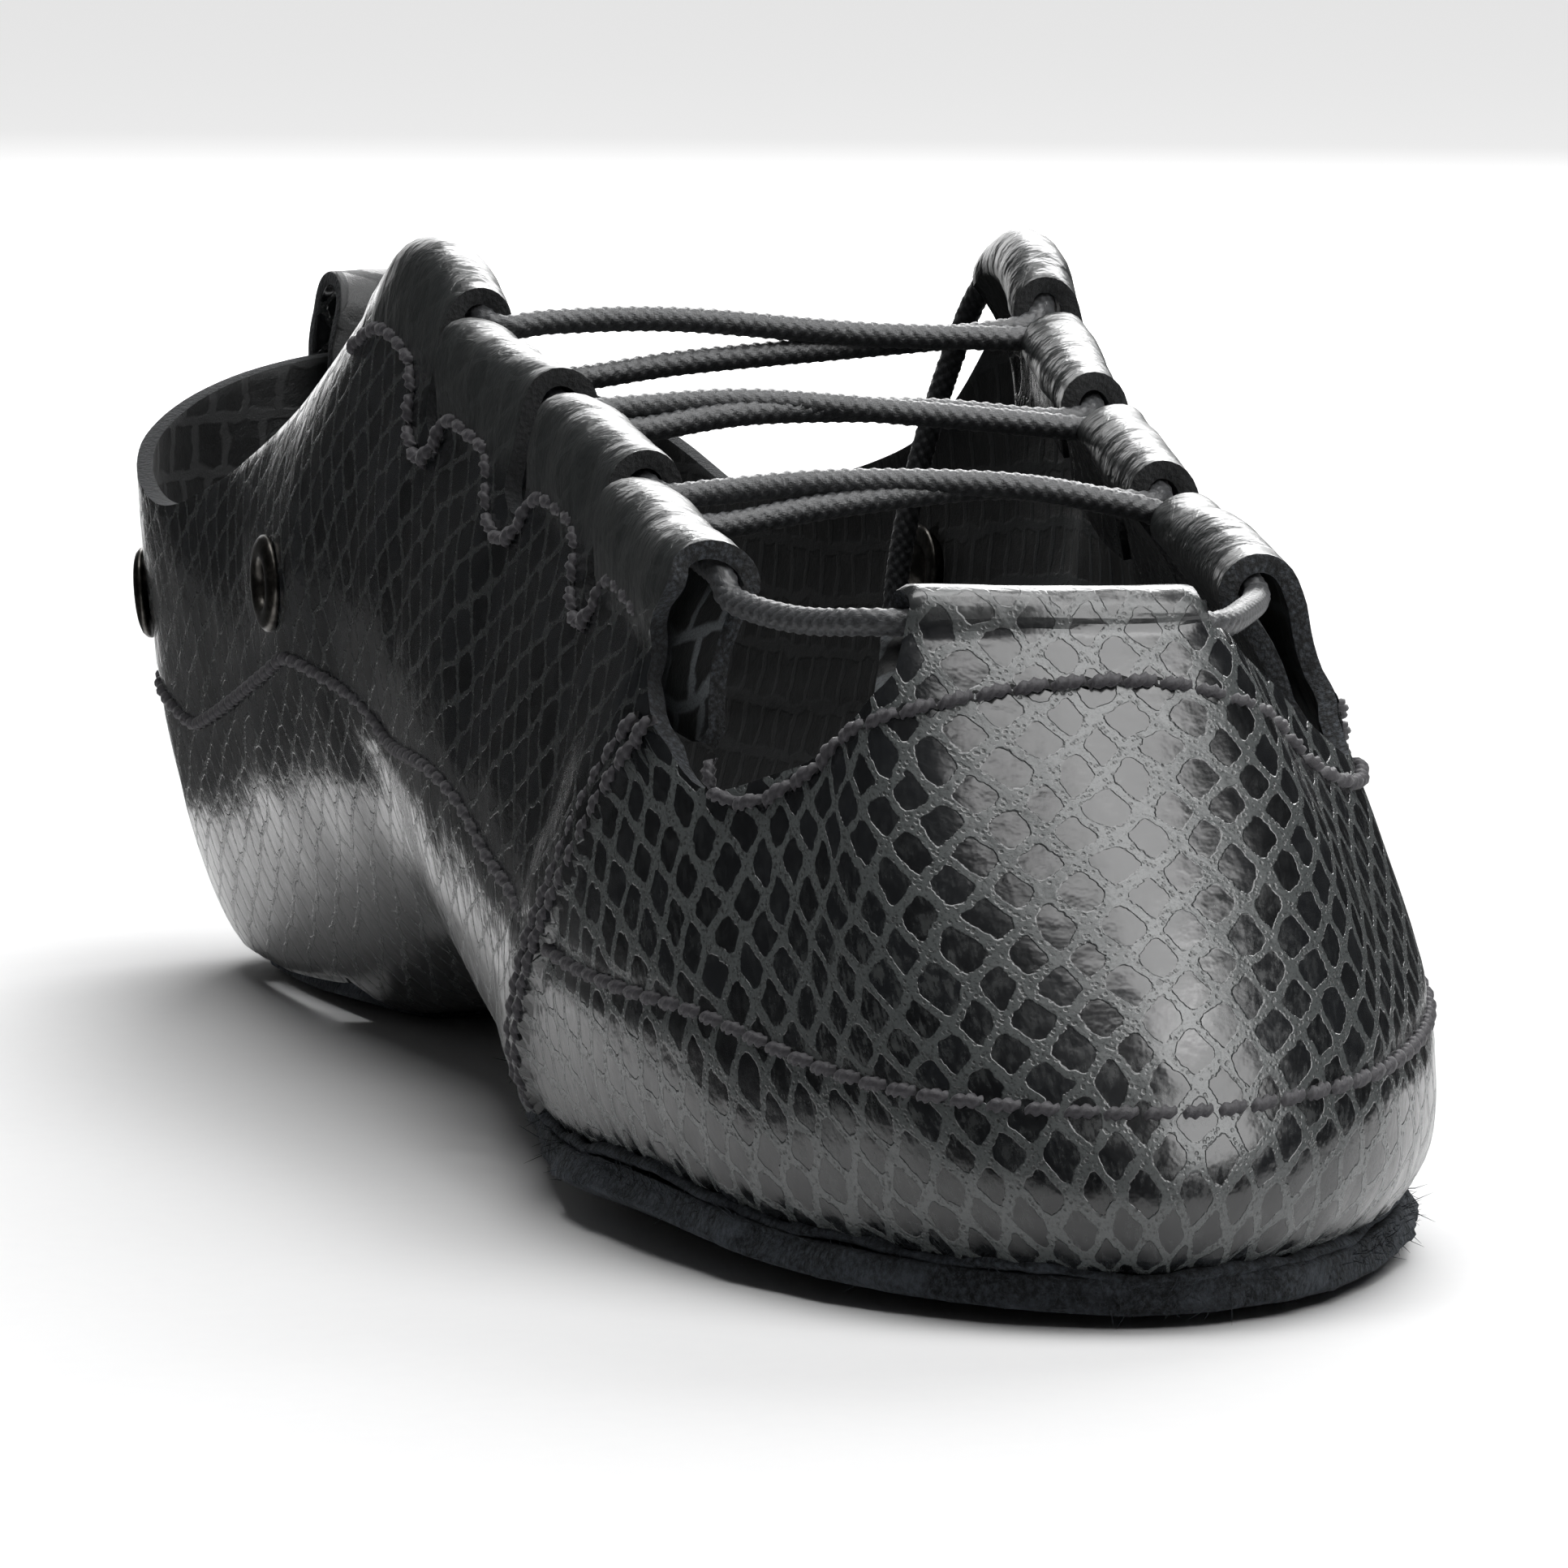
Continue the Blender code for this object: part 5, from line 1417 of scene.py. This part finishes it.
def build_soles(materials):
    """The forefoot and heel pads with rough cut edges, standing on the floor."""
    spine = SPINE_ENDS[1]
    inner, outer = both_sides(np.linspace(PAD_REAR, spine, 100))
    toe = np.linspace(inner[-1], outer[-1], 170)[1:-1]
    places = np.concatenate([inner, toe, outer[::-1]])
    pad = layer("forefoot_pad", places, False, pad_margin(places), SEAT_GAP, PAD_THICKNESS, -1.0,
                materials["suede"], 0.0005)
    inner, outer = both_sides(np.linspace(HEEL_PAD_FRONT, SPINE_ENDS[0], 28))
    heel = np.linspace(inner[-1], outer[-1] - SHELL.round, 70)[1:-1]
    heel_places = np.concatenate([inner, heel, outer[::-1]])
    heel_pad = layer("heel_pad", heel_places, False, -HEEL_PAD_INSET, SEAT_GAP,
                     HEEL_PAD_THICKNESS, -1.0, materials["suede"], 0.0004)
    move_along_normals(pad, rough_edge)
    move_along_normals(heel_pad, lambda points, normals: 0.3 * rough_edge(points, normals))
    for piece in (pad, heel_pad):
        stand_on_floor(piece)
    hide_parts("forefoot_sole")
    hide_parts("heel_sole")


def rough_edge(points, normals):
    """Random waves and tufts where a face looks sideways, nearly none underneath."""
    aside = 1.0 - np.abs(normals[:, 2])
    coarse = 0.75 * random_field(points, 9.0, 21) + 0.45 * random_field(points, 2.8, 22)
    fine = 0.2 * random_field(points, 0.9, 23)
    bevel = 4.0 * np.clip(normals[:, 2], 0.0, 1.0) * aside
    return (aside * (coarse + fine) + bevel * 0.8 * random_field(points, 7.0, 25)
            + 0.04 * random_field(points, 1.4, 24))


def build_insole(materials):
    """The insole inside the wall, slightly cupped by the foot."""
    inner, outer = both_sides(np.linspace(*SPINE_ENDS, 90))
    heel = np.linspace(outer[0] - SHELL.round, inner[0], 56)[1:-1]
    toe = np.linspace(inner[-1], outer[-1], 70)[1:-1]
    places = np.concatenate([inner, toe, outer[::-1], heel])
    piece = layer("insole_leather", places, True, -INSOLE_INSET, 0.0, INSOLE_THICKNESS, 1.0,
                  materials["insole"], 0.0003)
    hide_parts("insole")


# Heel tab and eyelets

def build_heel_tab(settings, materials):
    """The folded pull loop: a strip of leather over the collar, bowed, with raw edges.

    The path climbs the outer face, turns over as a half circle and comes down inside. Across
    the strip the leather bends back with the heel, as the square of x.
    """
    levels = np.linspace(TAB_FOOT, 57.0, 14)
    back = SHELL.wall(np.zeros(1), levels[None, :])[0]
    wall = settings.sizes.leather / MM
    outer = -(SEAT_GAP + 0.35 + TAB_LEATHER)
    inner = wall + SEAT_GAP + 0.75 + TAB_LEATHER
    radius = 0.5 * (inner - outer)
    angle = np.linspace(math.pi, 0.0, 21)
    swell = 1.0 + 0.1 * np.sin(angle)
    arc = np.stack([back[-1, 1] + 0.5 * (outer + inner) + radius * swell * np.cos(angle),
                    TAB_TOP - radius + radius * np.sin(angle)], -1)
    rise = np.stack([np.full(8, back[-1, 1] + outer),
                     np.linspace(57.0, TAB_TOP - radius, 10)[1:-1]], -1)
    fall = np.stack([np.full(8, back[-1, 1] + inner),
                     np.linspace(TAB_TOP - radius, 57.0, 10)[1:-1]], -1)
    path = np.vstack([np.stack([back[:, 1] + outer, levels], -1), rise, arc, fall,
                      np.stack([back[::-1, 1] + inner, levels[::-1]], -1)])
    x = np.linspace(-0.5 * TAB_WIDTH, 0.5 * TAB_WIDTH, 17)
    points = np.empty((len(x), len(path), 3))
    points[..., 0] = x[:, None]
    points[..., 1] = path[None, :, 0] + 0.018 * x[:, None] ** 2
    points[..., 2] = path[None, :, 1]
    top = smooth_step(57.0, TAB_TOP, path[:, 1])[None, :]
    points[..., 0] *= 1.16 - 0.24 * top
    points += 0.14 * np.stack([random_field(points, 3.0, seed) for seed in (31, 32, 33)], -1)
    count, width = points.shape[:2]
    faces = grid_faces(count, width).reshape(-1, 4)
    uv = np.stack(np.meshgrid(x, run_length(path), indexing="ij"), -1).reshape(-1, 2)[faces]
    piece = add_piece("heel_tab_leather", to_frame(points.reshape(-1, 3)), faces,
                      [materials["print"], materials["lining"], materials["edge"]], uv=uv)
    keep_values(piece, "worn", np.full(count * width, 0.25))
    give_thickness(piece, TAB_LEATHER * MM, -1.0, edge=0.0002, inside=1, rim=2)
    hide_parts("heel_tab")


def build_eyelets(materials):
    """Each eyelet turned from one profile: rolled outer lip, barrel, and splayed inner washer."""
    profile = np.array([(2.15, -2.9), (2.05, 0.2), (2.2, 0.7), (2.5, 0.95), (2.9, 1.02),
                        (3.4, 0.98), (3.9, 0.8), (4.25, 0.45), (4.3, 0.1), (4.1, 0.02),
                        (2.85, 0.02), (2.8, -2.5), (3.9, -2.55), (4.0, -2.75), (3.7, -3.0),
                        (2.6, -3.05)])
    for name, side, s, height in EYELETS:
        centre, axis = eyelet_axis(side, s, height)
        spoke = spokes(*unit_frame(axis), 64)
        points = centre + spoke[:, None] * profile[None, :, :1] + axis * profile[None, :, 1:]
        faces = tube_faces(len(spoke), len(profile), joined=True)
        piece = add_piece(name + "_ring", to_frame(points.reshape(-1, 3)), faces,
                          [materials["metal"]])
        face_outwards(piece)
        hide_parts(name)


def face_outwards(piece):
    """Turn the faces of a closed mesh outwards."""
    work = bmesh.new()
    work.from_mesh(piece.data)
    bmesh.ops.recalc_face_normals(work, faces=work.faces)
    work.to_mesh(piece.data)
    work.free()


# Lace

def tunnel(s, side, radius):
    """Where the lace lies in a loop's tunnel at s along the shoe, lower under a low roll."""
    row = SHELL.rows(np.array([SHELL.place_at(s, side)]))[0]
    low = TUNNEL_SAG + min(0.0, float(np.interp(s, *np.array(LOOP_LIFT).T)))
    return np.array([row[3] - side * radius, s, row[5] + low])


def lace_path(radius):
    """The fixed part of the lace, from the hidden inner end to the rear of outer loop 1.

    It zigzags forward through the loops, passes the tunnel over the toe and zigzags back.
    """
    def through(side, number, forward):
        """Four points in one loop's tunnel."""
        rear, front = LOOPS[number]
        stops = [rear + 1.0, rear + 6.0, front - 6.0, front - 1.0]
        return [tunnel(s, side, radius) for s in (stops if forward else stops[::-1])]

    def strand(number, kind, from_inner):
        """Points of one strand over the throat: the straight line plus the table's lifts."""
        inner_s, outer_s, *lifts = STRANDS[(number, kind)]
        start = tunnel(inner_s, INNER, radius)
        end = tunnel(outer_s, OUTER, radius)
        points = []
        for share, lift in zip(STRAND_SHARES, lifts):
            points.append(start + (end - start) * share + np.array([0.0, 0.0, lift]))
        return points if from_inner else points[::-1]

    bars = {}
    for side in (INNER, OUTER):
        row = SHELL.rows(np.array([SHELL.knot(STRAP_ENDS[side])]))[0]
        end = np.array([row[3] + side * 1.6, row[4] - 2.6, row[5] - 1.3])
        start = tunnel(LOOPS[-1][1] + 1.4, side, radius) + [0.0, 0.0, BAR_SAG[side][0]]
        middle = 0.5 * (start + end) + [side * 1.2, 0.6, BAR_SAG[side][1]]
        bars[side] = [start, 0.25 * start + 0.5 * middle + 0.25 * end, end]
    toe = [np.array([-7.0, 213.0, 48.9]), np.array([-1.0, 213.3, 49.0]),
           np.array([5.0, 213.0, 48.7])]
    route = through(INNER, 0, True) + strand(1, "over", True) + through(OUTER, 1, True)
    route += strand(2, "under", False) + through(INNER, 2, True) + strand(3, "over", True)
    route += through(OUTER, 3, True) + bars[OUTER] + toe[::-1] + bars[INNER][::-1]
    route += through(INNER, 3, False) + strand(3, "under", True) + through(OUTER, 2, False)
    route += strand(2, "over", False) + through(INNER, 1, False) + strand(1, "under", True)
    route += through(OUTER, 0, False)[:-1] + [np.array(LACE_END_ROUTE[0])]
    return np.array(route)


def path_frame(path):
    """Heading of a path at each point, and two unit vectors square to it that never flip."""
    heading = unit(np.gradient(path, axis=0))
    flat = unit(np.cross(heading, [0.02, 0.03, 1.0]))
    swap = np.cumprod(np.append(1.0, np.where((flat[1:] * flat[:-1]).sum(1) < 0.0, -1.0, 1.0)))
    flat = flat * swap[:, None]
    return heading, flat, np.cross(heading, flat)


def braid_points(path, radius, sides):
    """A braided tube along a path, with how proud each point is.

    Two sets of yarns wind round the tube in opposite turns and part it into diamonds. In every
    second diamond the one set lies on top, in the others the other set, each yarn rounded
    across as a sine and dipping under at both ends. The radius grows with the yarn's height.
    """
    _, flat, high = path_frame(path)
    length = run_length(path)
    angle = 2.0 * math.pi * np.arange(sides) / sides
    turn = 3.0 * angle[None, :] / math.pi
    run = length[:, None] / BRAID_PITCH
    first, second = turn + run, turn - run
    even = np.mod(np.floor(first) + np.floor(second), 2.0) < 0.5
    across = np.where(even, np.mod(first, 1.0), np.mod(second, 1.0))
    along = np.where(even, np.mod(second, 1.0), np.mod(first, 1.0))
    proud = np.sin(math.pi * across) ** 0.7 * (0.5 + 0.5 * np.sin(math.pi * along))
    thick = radius * (0.82 + 0.18 * proud)
    return path[:, None] + spokes(flat, high, sides) * thick[..., None], proud, length


def build_braid(name, path, settings, material, sides=30):
    """A closed braided tube with a UV map in mm and its relief kept as an attribute."""
    radius = 0.5 * settings.sizes.lace / MM
    points, proud, length = braid_points(path, radius, sides)
    quads, caps = tube_faces(len(path), sides), cap_faces(len(path), sides)
    turned = (quads[:, :1] % sides + np.array([0, 0, 1, 1])) / sides * 2.0 * math.pi * radius
    uv = np.stack([turned, length[quads // sides]], -1).reshape(-1, 2)
    uv = np.vstack([uv, np.zeros((caps.size, 2))])
    vertices = np.vstack([points.reshape(-1, 3), path[0], path[-1]])
    piece = add_piece(name, to_frame(vertices), (quads, caps), [material], uv=uv)
    keep_values(piece, "proud", np.append(proud.ravel(), [0.5, 0.5]))
    face_outwards(piece)
    return piece


def build_aglet(path, settings, material):
    """The tip's sleeve: a thin tube round the lace's last millimetres.

    Its radius dips at the middle as a squared sine, and shrinks by a smooth step at the end.
    """
    length = run_length(path)
    last = path[length > length[-1] - TIP_LENGTH]
    share = np.linspace(0.0, 1.0, len(last))[:, None, None]
    heading, flat, high = path_frame(last)
    radius = 0.5 * settings.sizes.lace / MM + 0.12 - 0.06 * np.sin(math.pi * share) ** 2
    radius = radius * (1.0 - 0.35 * smooth_step(0.88, 1.0, share))
    points = last[:, None] + spokes(flat, high, TIP_SIDES) * radius
    vertices = np.vstack([points.reshape(-1, 3), last[0], last[-1] + 0.25 * heading[-1]])
    faces = (tube_faces(len(last), TIP_SIDES), cap_faces(len(last), TIP_SIDES))
    piece = add_piece("lace_tip", to_frame(vertices), faces, [material])
    face_outwards(piece)
    return piece


# Fibres

def fibre_grid(roots, ways, lengths, thickness, seed):
    """Loose fibres: three-sided tapered blades that curl away from their root."""
    rng = np.random.default_rng(seed)
    curl = unit(rng.normal(size=roots.shape)) * 0.5
    share = np.array([0.0, 0.5, 1.0])[None, :, None]
    bent = ways[:, None] * share + curl[:, None] * share ** 2
    line = roots[:, None] + bent * lengths[:, None, None]
    flat = unit(np.cross(ways, [0.1, 0.2, 1.0]))
    spoke = spokes(flat, np.cross(ways, flat), 3)[:, None]
    thin = thickness * np.array([1.0, 0.75, 0.15])[None, :, None, None]
    points = (line[:, :, None] + spoke * thin).reshape(-1, 3)
    return points, repeat_faces(tube_faces(3, 3), len(roots), 9)


def ragged_lip():
    """The frayed lip where the leather meets the pad: a lumpy tube round the toe.

    Its middle wanders about the wall's foot and its radius changes, all by random fields.
    """
    places = np.arange(SHELL.foot_place(148.0, INNER), SHELL.foot_place(148.0, OUTER), 0.45)
    foot = SHELL.rows(places)[:, 0:3]
    outward = SHELL.normals(places, foot[:, 2:3] + 1.0)[:, 0]
    outward = unit(outward * [1.0, 1.0, 0.0])
    fields = [random_field(foot, size, seed) for size, seed in ((5.0, 51), (4.0, 52), (1.7, 53))]
    middle = foot + outward * (0.35 + 0.3 * fields[0])[:, None]
    middle[:, 2] += -0.1 + 0.5 * fields[1]
    angle = 2.0 * math.pi * np.arange(8) / 8
    radius = np.clip(0.5 + 0.24 * fields[2], 0.15, 0.9)[:, None, None]
    radius = radius * (1.0 + 0.2 * np.cos(3.0 * angle)[None, :, None])
    ring = spokes(outward, np.broadcast_to([0.0, 0.0, 1.0], outward.shape), 8)
    points = (middle[:, None] + ring * radius).reshape(-1, 3)
    return points, tube_faces(len(places), 8)


def build_fibres(materials):
    """Loose fibres along the forefoot pad's rim, and the frayed lip above it."""
    rng = np.random.default_rng(17)
    count = 1500
    rear = [SHELL.foot_place(PAD_REAR, side) for side in (INNER, OUTER)]
    places = np.linspace(*rear, count)
    places = places + rng.uniform(-0.2, 0.2, count)
    margin = pad_margin(places)
    edge = sheet_points(places, [1.0], margin, SEAT_GAP)[:, 0]
    outward = unit(edge - sheet_points(places, [0.9], margin, SEAT_GAP)[:, 0])
    edge[:, 2] -= rng.uniform(0.0, PAD_THICKNESS, count)
    ways = unit(outward + rng.normal(scale=0.6, size=edge.shape) + np.array([0.0, 0.0, 0.1]))
    lengths = rng.gamma(3.0, 0.28, count).clip(0.3, 2.2)
    floor = edge[:, 2] + ways[:, 2] * lengths > 0.15
    points, faces = fibre_grid(edge[floor], ways[floor], lengths[floor], 0.055, 18)
    lip, lip_faces = ragged_lip()
    faces = np.vstack([faces, lip_faces + len(points)])
    points = np.vstack([points, lip])
    add_piece("suede_fibres", to_frame(points), faces, [materials["suede"]])


# Stage

def build_camera():
    """The camera where the photograph was taken, turned onto the one shoe."""
    data = bpy.data.cameras.new("camera")
    data.sensor_width = 36.0
    data.lens = 216.66
    data.clip_start = 0.05
    data.clip_end = 60.0
    camera = new_object("camera", data)
    camera.location = (-0.2243, -0.8437, 0.1119)
    camera.rotation_euler = (math.radians(83.888), 0.0, math.radians(-16.880))
    bpy.context.scene.camera = camera


def soft_box(name, place, aim, width, height, power):
    """A rectangular light at place that faces aim."""
    data = bpy.data.lights.new(name, "AREA")
    data.shape = "RECTANGLE"
    data.size = width
    data.size_y = height
    data.energy = power
    light = new_object(name, data)
    light.location = place
    way = np.array(aim) - np.array(place)
    light.rotation_euler = (math.atan2(math.hypot(way[0], way[1]), -way[2]), 0.0,
                            math.atan2(way[1], way[0]) - math.pi / 2.0)
    return light


def build_flag(name, start, end, inside, height):
    """A black card round part of the shoe, for its mirror image in the gloss alone.

    Three arcs of ellipses about the shoe, from start to end in degrees: the card lies flat on
    the floor from inside outwards, then stands upright. Its inner arc comes nearer to the heel
    on the left. The camera never sees it, and it casts no shadow.
    """
    angle = np.radians(np.linspace(start, end, 61))[:, None]
    across = np.array([inside, 0.36, 0.37])[None, :]
    along = np.array([inside + 0.117, 0.42, 0.43])[None, :]
    near = 1.0 - 0.36 * smooth_step(195.0, 150.0, np.degrees(angle))
    x = across * np.cos(angle) * np.hstack([near, np.ones((len(angle), 2))])
    points = np.stack([x, along * np.sin(angle) - 0.09,
                       np.broadcast_to([0.0015, 0.002, height], x.shape)], -1).reshape(-1, 3)
    faces = grid_faces(len(angle), 3).reshape(-1, 4)
    felt = Nodes("black felt")
    nap = felt.noise(felt.place(), 0.5, 2.0)
    shade = felt.mix(nap, (0.004, 0.004, 0.004, 1.0), (0.008, 0.008, 0.008, 1.0))
    card = new_object(name, new_mesh(name, points, faces, [felt.finish(shade, 1.0)]))
    card.visible_camera = False
    card.visible_diffuse = False
    card.visible_shadow = False
    card.visible_transmission = False


def build_stage():
    """White floor that glows more with distance as painted light, soft lights and a world that is
    white behind the shoe and dim in front.
    """
    paper = Nodes("white paper")
    fine = paper.noise(paper.place(), 0.4, 3.0)
    tone = paper.mix(fine, (0.88, 0.88, 0.885, 1.0), (0.9, 0.9, 0.9, 1.0))
    # From 350 mm out the paper glows more and more: painted light that keeps the far floor white.
    far = paper.add("ShaderNodeVectorMath", {0: paper.place()}, 1, operation="LENGTH")
    paper.plug(paper.shader.inputs["Emission Strength"], paper.ramp(far, 350.0, 1400.0, 0.0, 0.7))
    paper.shader.inputs["Emission Color"].default_value = (1.0, 1.0, 1.0, 1.0)
    white = paper.finish(tone, 0.9, Specular_IOR_Level=0.0)
    corners = 12.0 * np.array([(-1, -1, 0), (1, -1, 0), (1, 1, 0), (-1, 1, 0)])
    new_object("floor", new_mesh("floor", corners, np.arange(4)[None], [white]))
    for name, place, width, height, power in (
            ("key light", (0.472, -0.945, 0.677), 1.2, 0.8, 12.4),
            ("upper key light", (0.204, -0.627, 1.02), 1.05, 0.42, 5.8)):
        soft_box(name, place, (0.0, -0.19, 0.03), width, height, power).visible_diffuse = False
    soft_box("top light", (0.05, 0.03, 1.15), (0.02, -0.06, 0.0), 0.95, 0.65, 9.0)
    soft_box("back light", (0.75, 1.1, 0.95), (0.0, -0.05, 0.03), 1.1, 0.8, 21.0)
    fill = soft_box("fill light", (0.4, -0.6, 1.2), (0.0, -0.1, 0.0), 1.1, 1.1, 7.5)
    fill.visible_glossy = False
    build_flag("left card", 95.0, 286.0, 0.088, 0.7)
    build_flag("right card", 18.0, 66.0, 0.075, 0.16)
    world = bpy.data.worlds.new("studio")
    bpy.context.scene.world = world
    world.use_nodes = True
    tree = world.node_tree
    way = tree.nodes.new("ShaderNodeTexCoord")
    facing = tree.nodes.new("ShaderNodeVectorMath")
    facing.operation = "DOT_PRODUCT"
    facing.inputs[1].default_value = (0.14, 0.98, 0.1)
    tree.links.new(way.outputs["Generated"], facing.inputs[0])
    ramp = tree.nodes.new("ShaderNodeMapRange")
    ramp.interpolation_type = "SMOOTHSTEP"
    for key, value in ((1, 0.88), (2, 0.96), (3, 0.03), (4, 2.6)):
        ramp.inputs[key].default_value = value
    tree.links.new(facing.outputs["Value"], ramp.inputs[0])
    path = tree.nodes.new("ShaderNodeLightPath")
    seen = tree.nodes.new("ShaderNodeMix")
    seen.inputs[3].default_value = 1.05
    tree.links.new(path.outputs["Is Camera Ray"], seen.inputs[0])
    tree.links.new(ramp.outputs[0], seen.inputs[2])
    back = tree.nodes["Background"]
    tree.links.new(seen.outputs[0], back.inputs["Strength"])
    back.inputs["Color"].default_value = (1.0, 1.0, 1.0, 1.0)
    bpy.context.scene.view_settings.view_transform = "Standard"


# Operators

MATERIALS = {}


def shoe_parts(context):
    """The scene's settings, and every material of the shoe, made once."""
    settings = context.scene.shoe_settings
    if not MATERIALS:
        MATERIALS.update({
            "print": print_leather(settings), "lining": lining_leather(settings),
            "edge": raw_edge(settings), "suede": suede_material(settings),
            "thread": thread_material(settings), "hole": hole_material(settings),
            "lace": lace_material(settings), "metal": metal_material(settings),
            "insole": insole_material(settings), "aglet": aglet_material(settings),
        })
    return settings, MATERIALS


class SHOE_OT_camera(bpy.types.Operator):
    """Place the camera at the photograph's angle to the shoe"""

    bl_idname = "shoe.camera"
    bl_label = "Camera"

    def execute(self, context):
        build_camera()
        return {"FINISHED"}


class SHOE_OT_lace_end(bpy.types.Operator):
    """Braid the free lace end that hangs inside the shoe"""

    bl_idname = "shoe.lace_end"
    bl_label = "Lace end"

    def execute(self, context):
        settings, materials = shoe_parts(context)
        path = smooth_curve(LACE_END_ROUTE, RING_STEP)
        piece = build_braid("lace_end", path, settings, materials["lace"])
        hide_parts("lace_end_outer")
        tip = build_aglet(path, settings, materials["aglet"])
        return {"FINISHED"}


class SHOE_OT_lace(bpy.types.Operator):
    """Braid the lace through the loops, over the throat and through the toe strap"""

    bl_idname = "shoe.lace"
    bl_label = "Lace"

    def execute(self, context):
        settings, materials = shoe_parts(context)
        path = smooth_curve(lace_path(settings.sizes.fold_radius / MM), RING_STEP)
        piece = build_braid("lace_laced", path, settings, materials["lace"], sides=24)
        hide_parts("lace_crossing_1", "lace_crossing_2", "lace_crossing_3",
                    "lace_bar_inner", "lace_bar_outer")
        return {"FINISHED"}


class SHOE_OT_upper(bpy.types.Operator):
    """Form the hollow leather upper with its folded loops"""

    bl_idname = "shoe.upper"
    bl_label = "Upper"

    def execute(self, context):
        settings, materials = shoe_parts(context)
        piece = build_upper(settings, [materials["print"], materials["lining"], materials["edge"]])
        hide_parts("upper")
        return {"FINISHED"}


class SHOE_OT_stitching(bpy.types.Operator):
    """Sew the foxing, strap, loop and side seam lines"""

    bl_idname = "shoe.stitching"
    bl_label = "Stitching"

    def execute(self, context):
        settings, materials = shoe_parts(context)
        build_stitching(settings, materials)
        return {"FINISHED"}


class SHOE_OT_soles(bpy.types.Operator):
    """Cut the suede pads under ball and heel"""

    bl_idname = "shoe.soles"
    bl_label = "Sole pads"

    def execute(self, context):
        materials = shoe_parts(context)[1]
        build_soles(materials)
        build_fibres(materials)
        return {"FINISHED"}


class SHOE_OT_insole(bpy.types.Operator):
    """Lay the insole"""

    bl_idname = "shoe.insole"
    bl_label = "Insole"

    def execute(self, context):
        materials = shoe_parts(context)[1]
        build_insole(materials)
        return {"FINISHED"}


class SHOE_OT_heel_tab(bpy.types.Operator):
    """Fold the pull loop over the collar at the back"""

    bl_idname = "shoe.heel_tab"
    bl_label = "Heel tab"

    def execute(self, context):
        settings, materials = shoe_parts(context)
        build_heel_tab(settings, materials)
        return {"FINISHED"}


class SHOE_OT_eyelets(bpy.types.Operator):
    """Set the four metal eyelets"""

    bl_idname = "shoe.eyelets"
    bl_label = "Eyelets"

    def execute(self, context):
        materials = shoe_parts(context)[1]
        build_eyelets(materials)
        return {"FINISHED"}


class SHOE_OT_stage(bpy.types.Operator):
    """Lay the white floor and hang the studio lights"""

    bl_idname = "shoe.stage"
    bl_label = "Stage"

    def execute(self, context):
        build_stage()
        return {"FINISHED"}


class SHOE_PT_panel(bpy.types.Panel):
    """Lists the shoe's operators, sizes and colours."""

    bl_idname = "SHOE_PT_panel"
    bl_label = "Ghillie Dance Shoe"
    bl_space_type = "VIEW_3D"
    bl_region_type = "UI"
    bl_category = "Shoe"

    def draw(self, context):
        settings = context.scene.shoe_settings
        for operator in OPERATORS:
            self.layout.operator(operator.bl_idname)
        for group in (settings.sizes, settings.colours):
            box = self.layout.box()
            for key in group.__annotations__:
                box.prop(group, key)


OPERATORS = (
    SHOE_OT_camera, SHOE_OT_lace_end, SHOE_OT_lace, SHOE_OT_upper, SHOE_OT_stitching,
    SHOE_OT_soles, SHOE_OT_insole, SHOE_OT_heel_tab, SHOE_OT_eyelets, SHOE_OT_stage,
)
CLASSES = (ShoeSizes, ShoeColours, ShoeSettings, *OPERATORS, SHOE_PT_panel)


def register():
    """Register every class and keep the settings on the scene."""
    for item in CLASSES:
        bpy.utils.register_class(item)
    bpy.types.Scene.shoe_settings = bpy.props.PointerProperty(type=ShoeSettings)


def unregister():
    """Take the settings and classes away again."""
    del bpy.types.Scene.shoe_settings
    for item in reversed(CLASSES):
        bpy.utils.unregister_class(item)


def main():
    """Build every piece in order."""
    register()
    for operator in OPERATORS:
        group, action = operator.bl_idname.split(".")
        getattr(getattr(bpy.ops, group), action)()


if __name__ == "__main__":
    main()
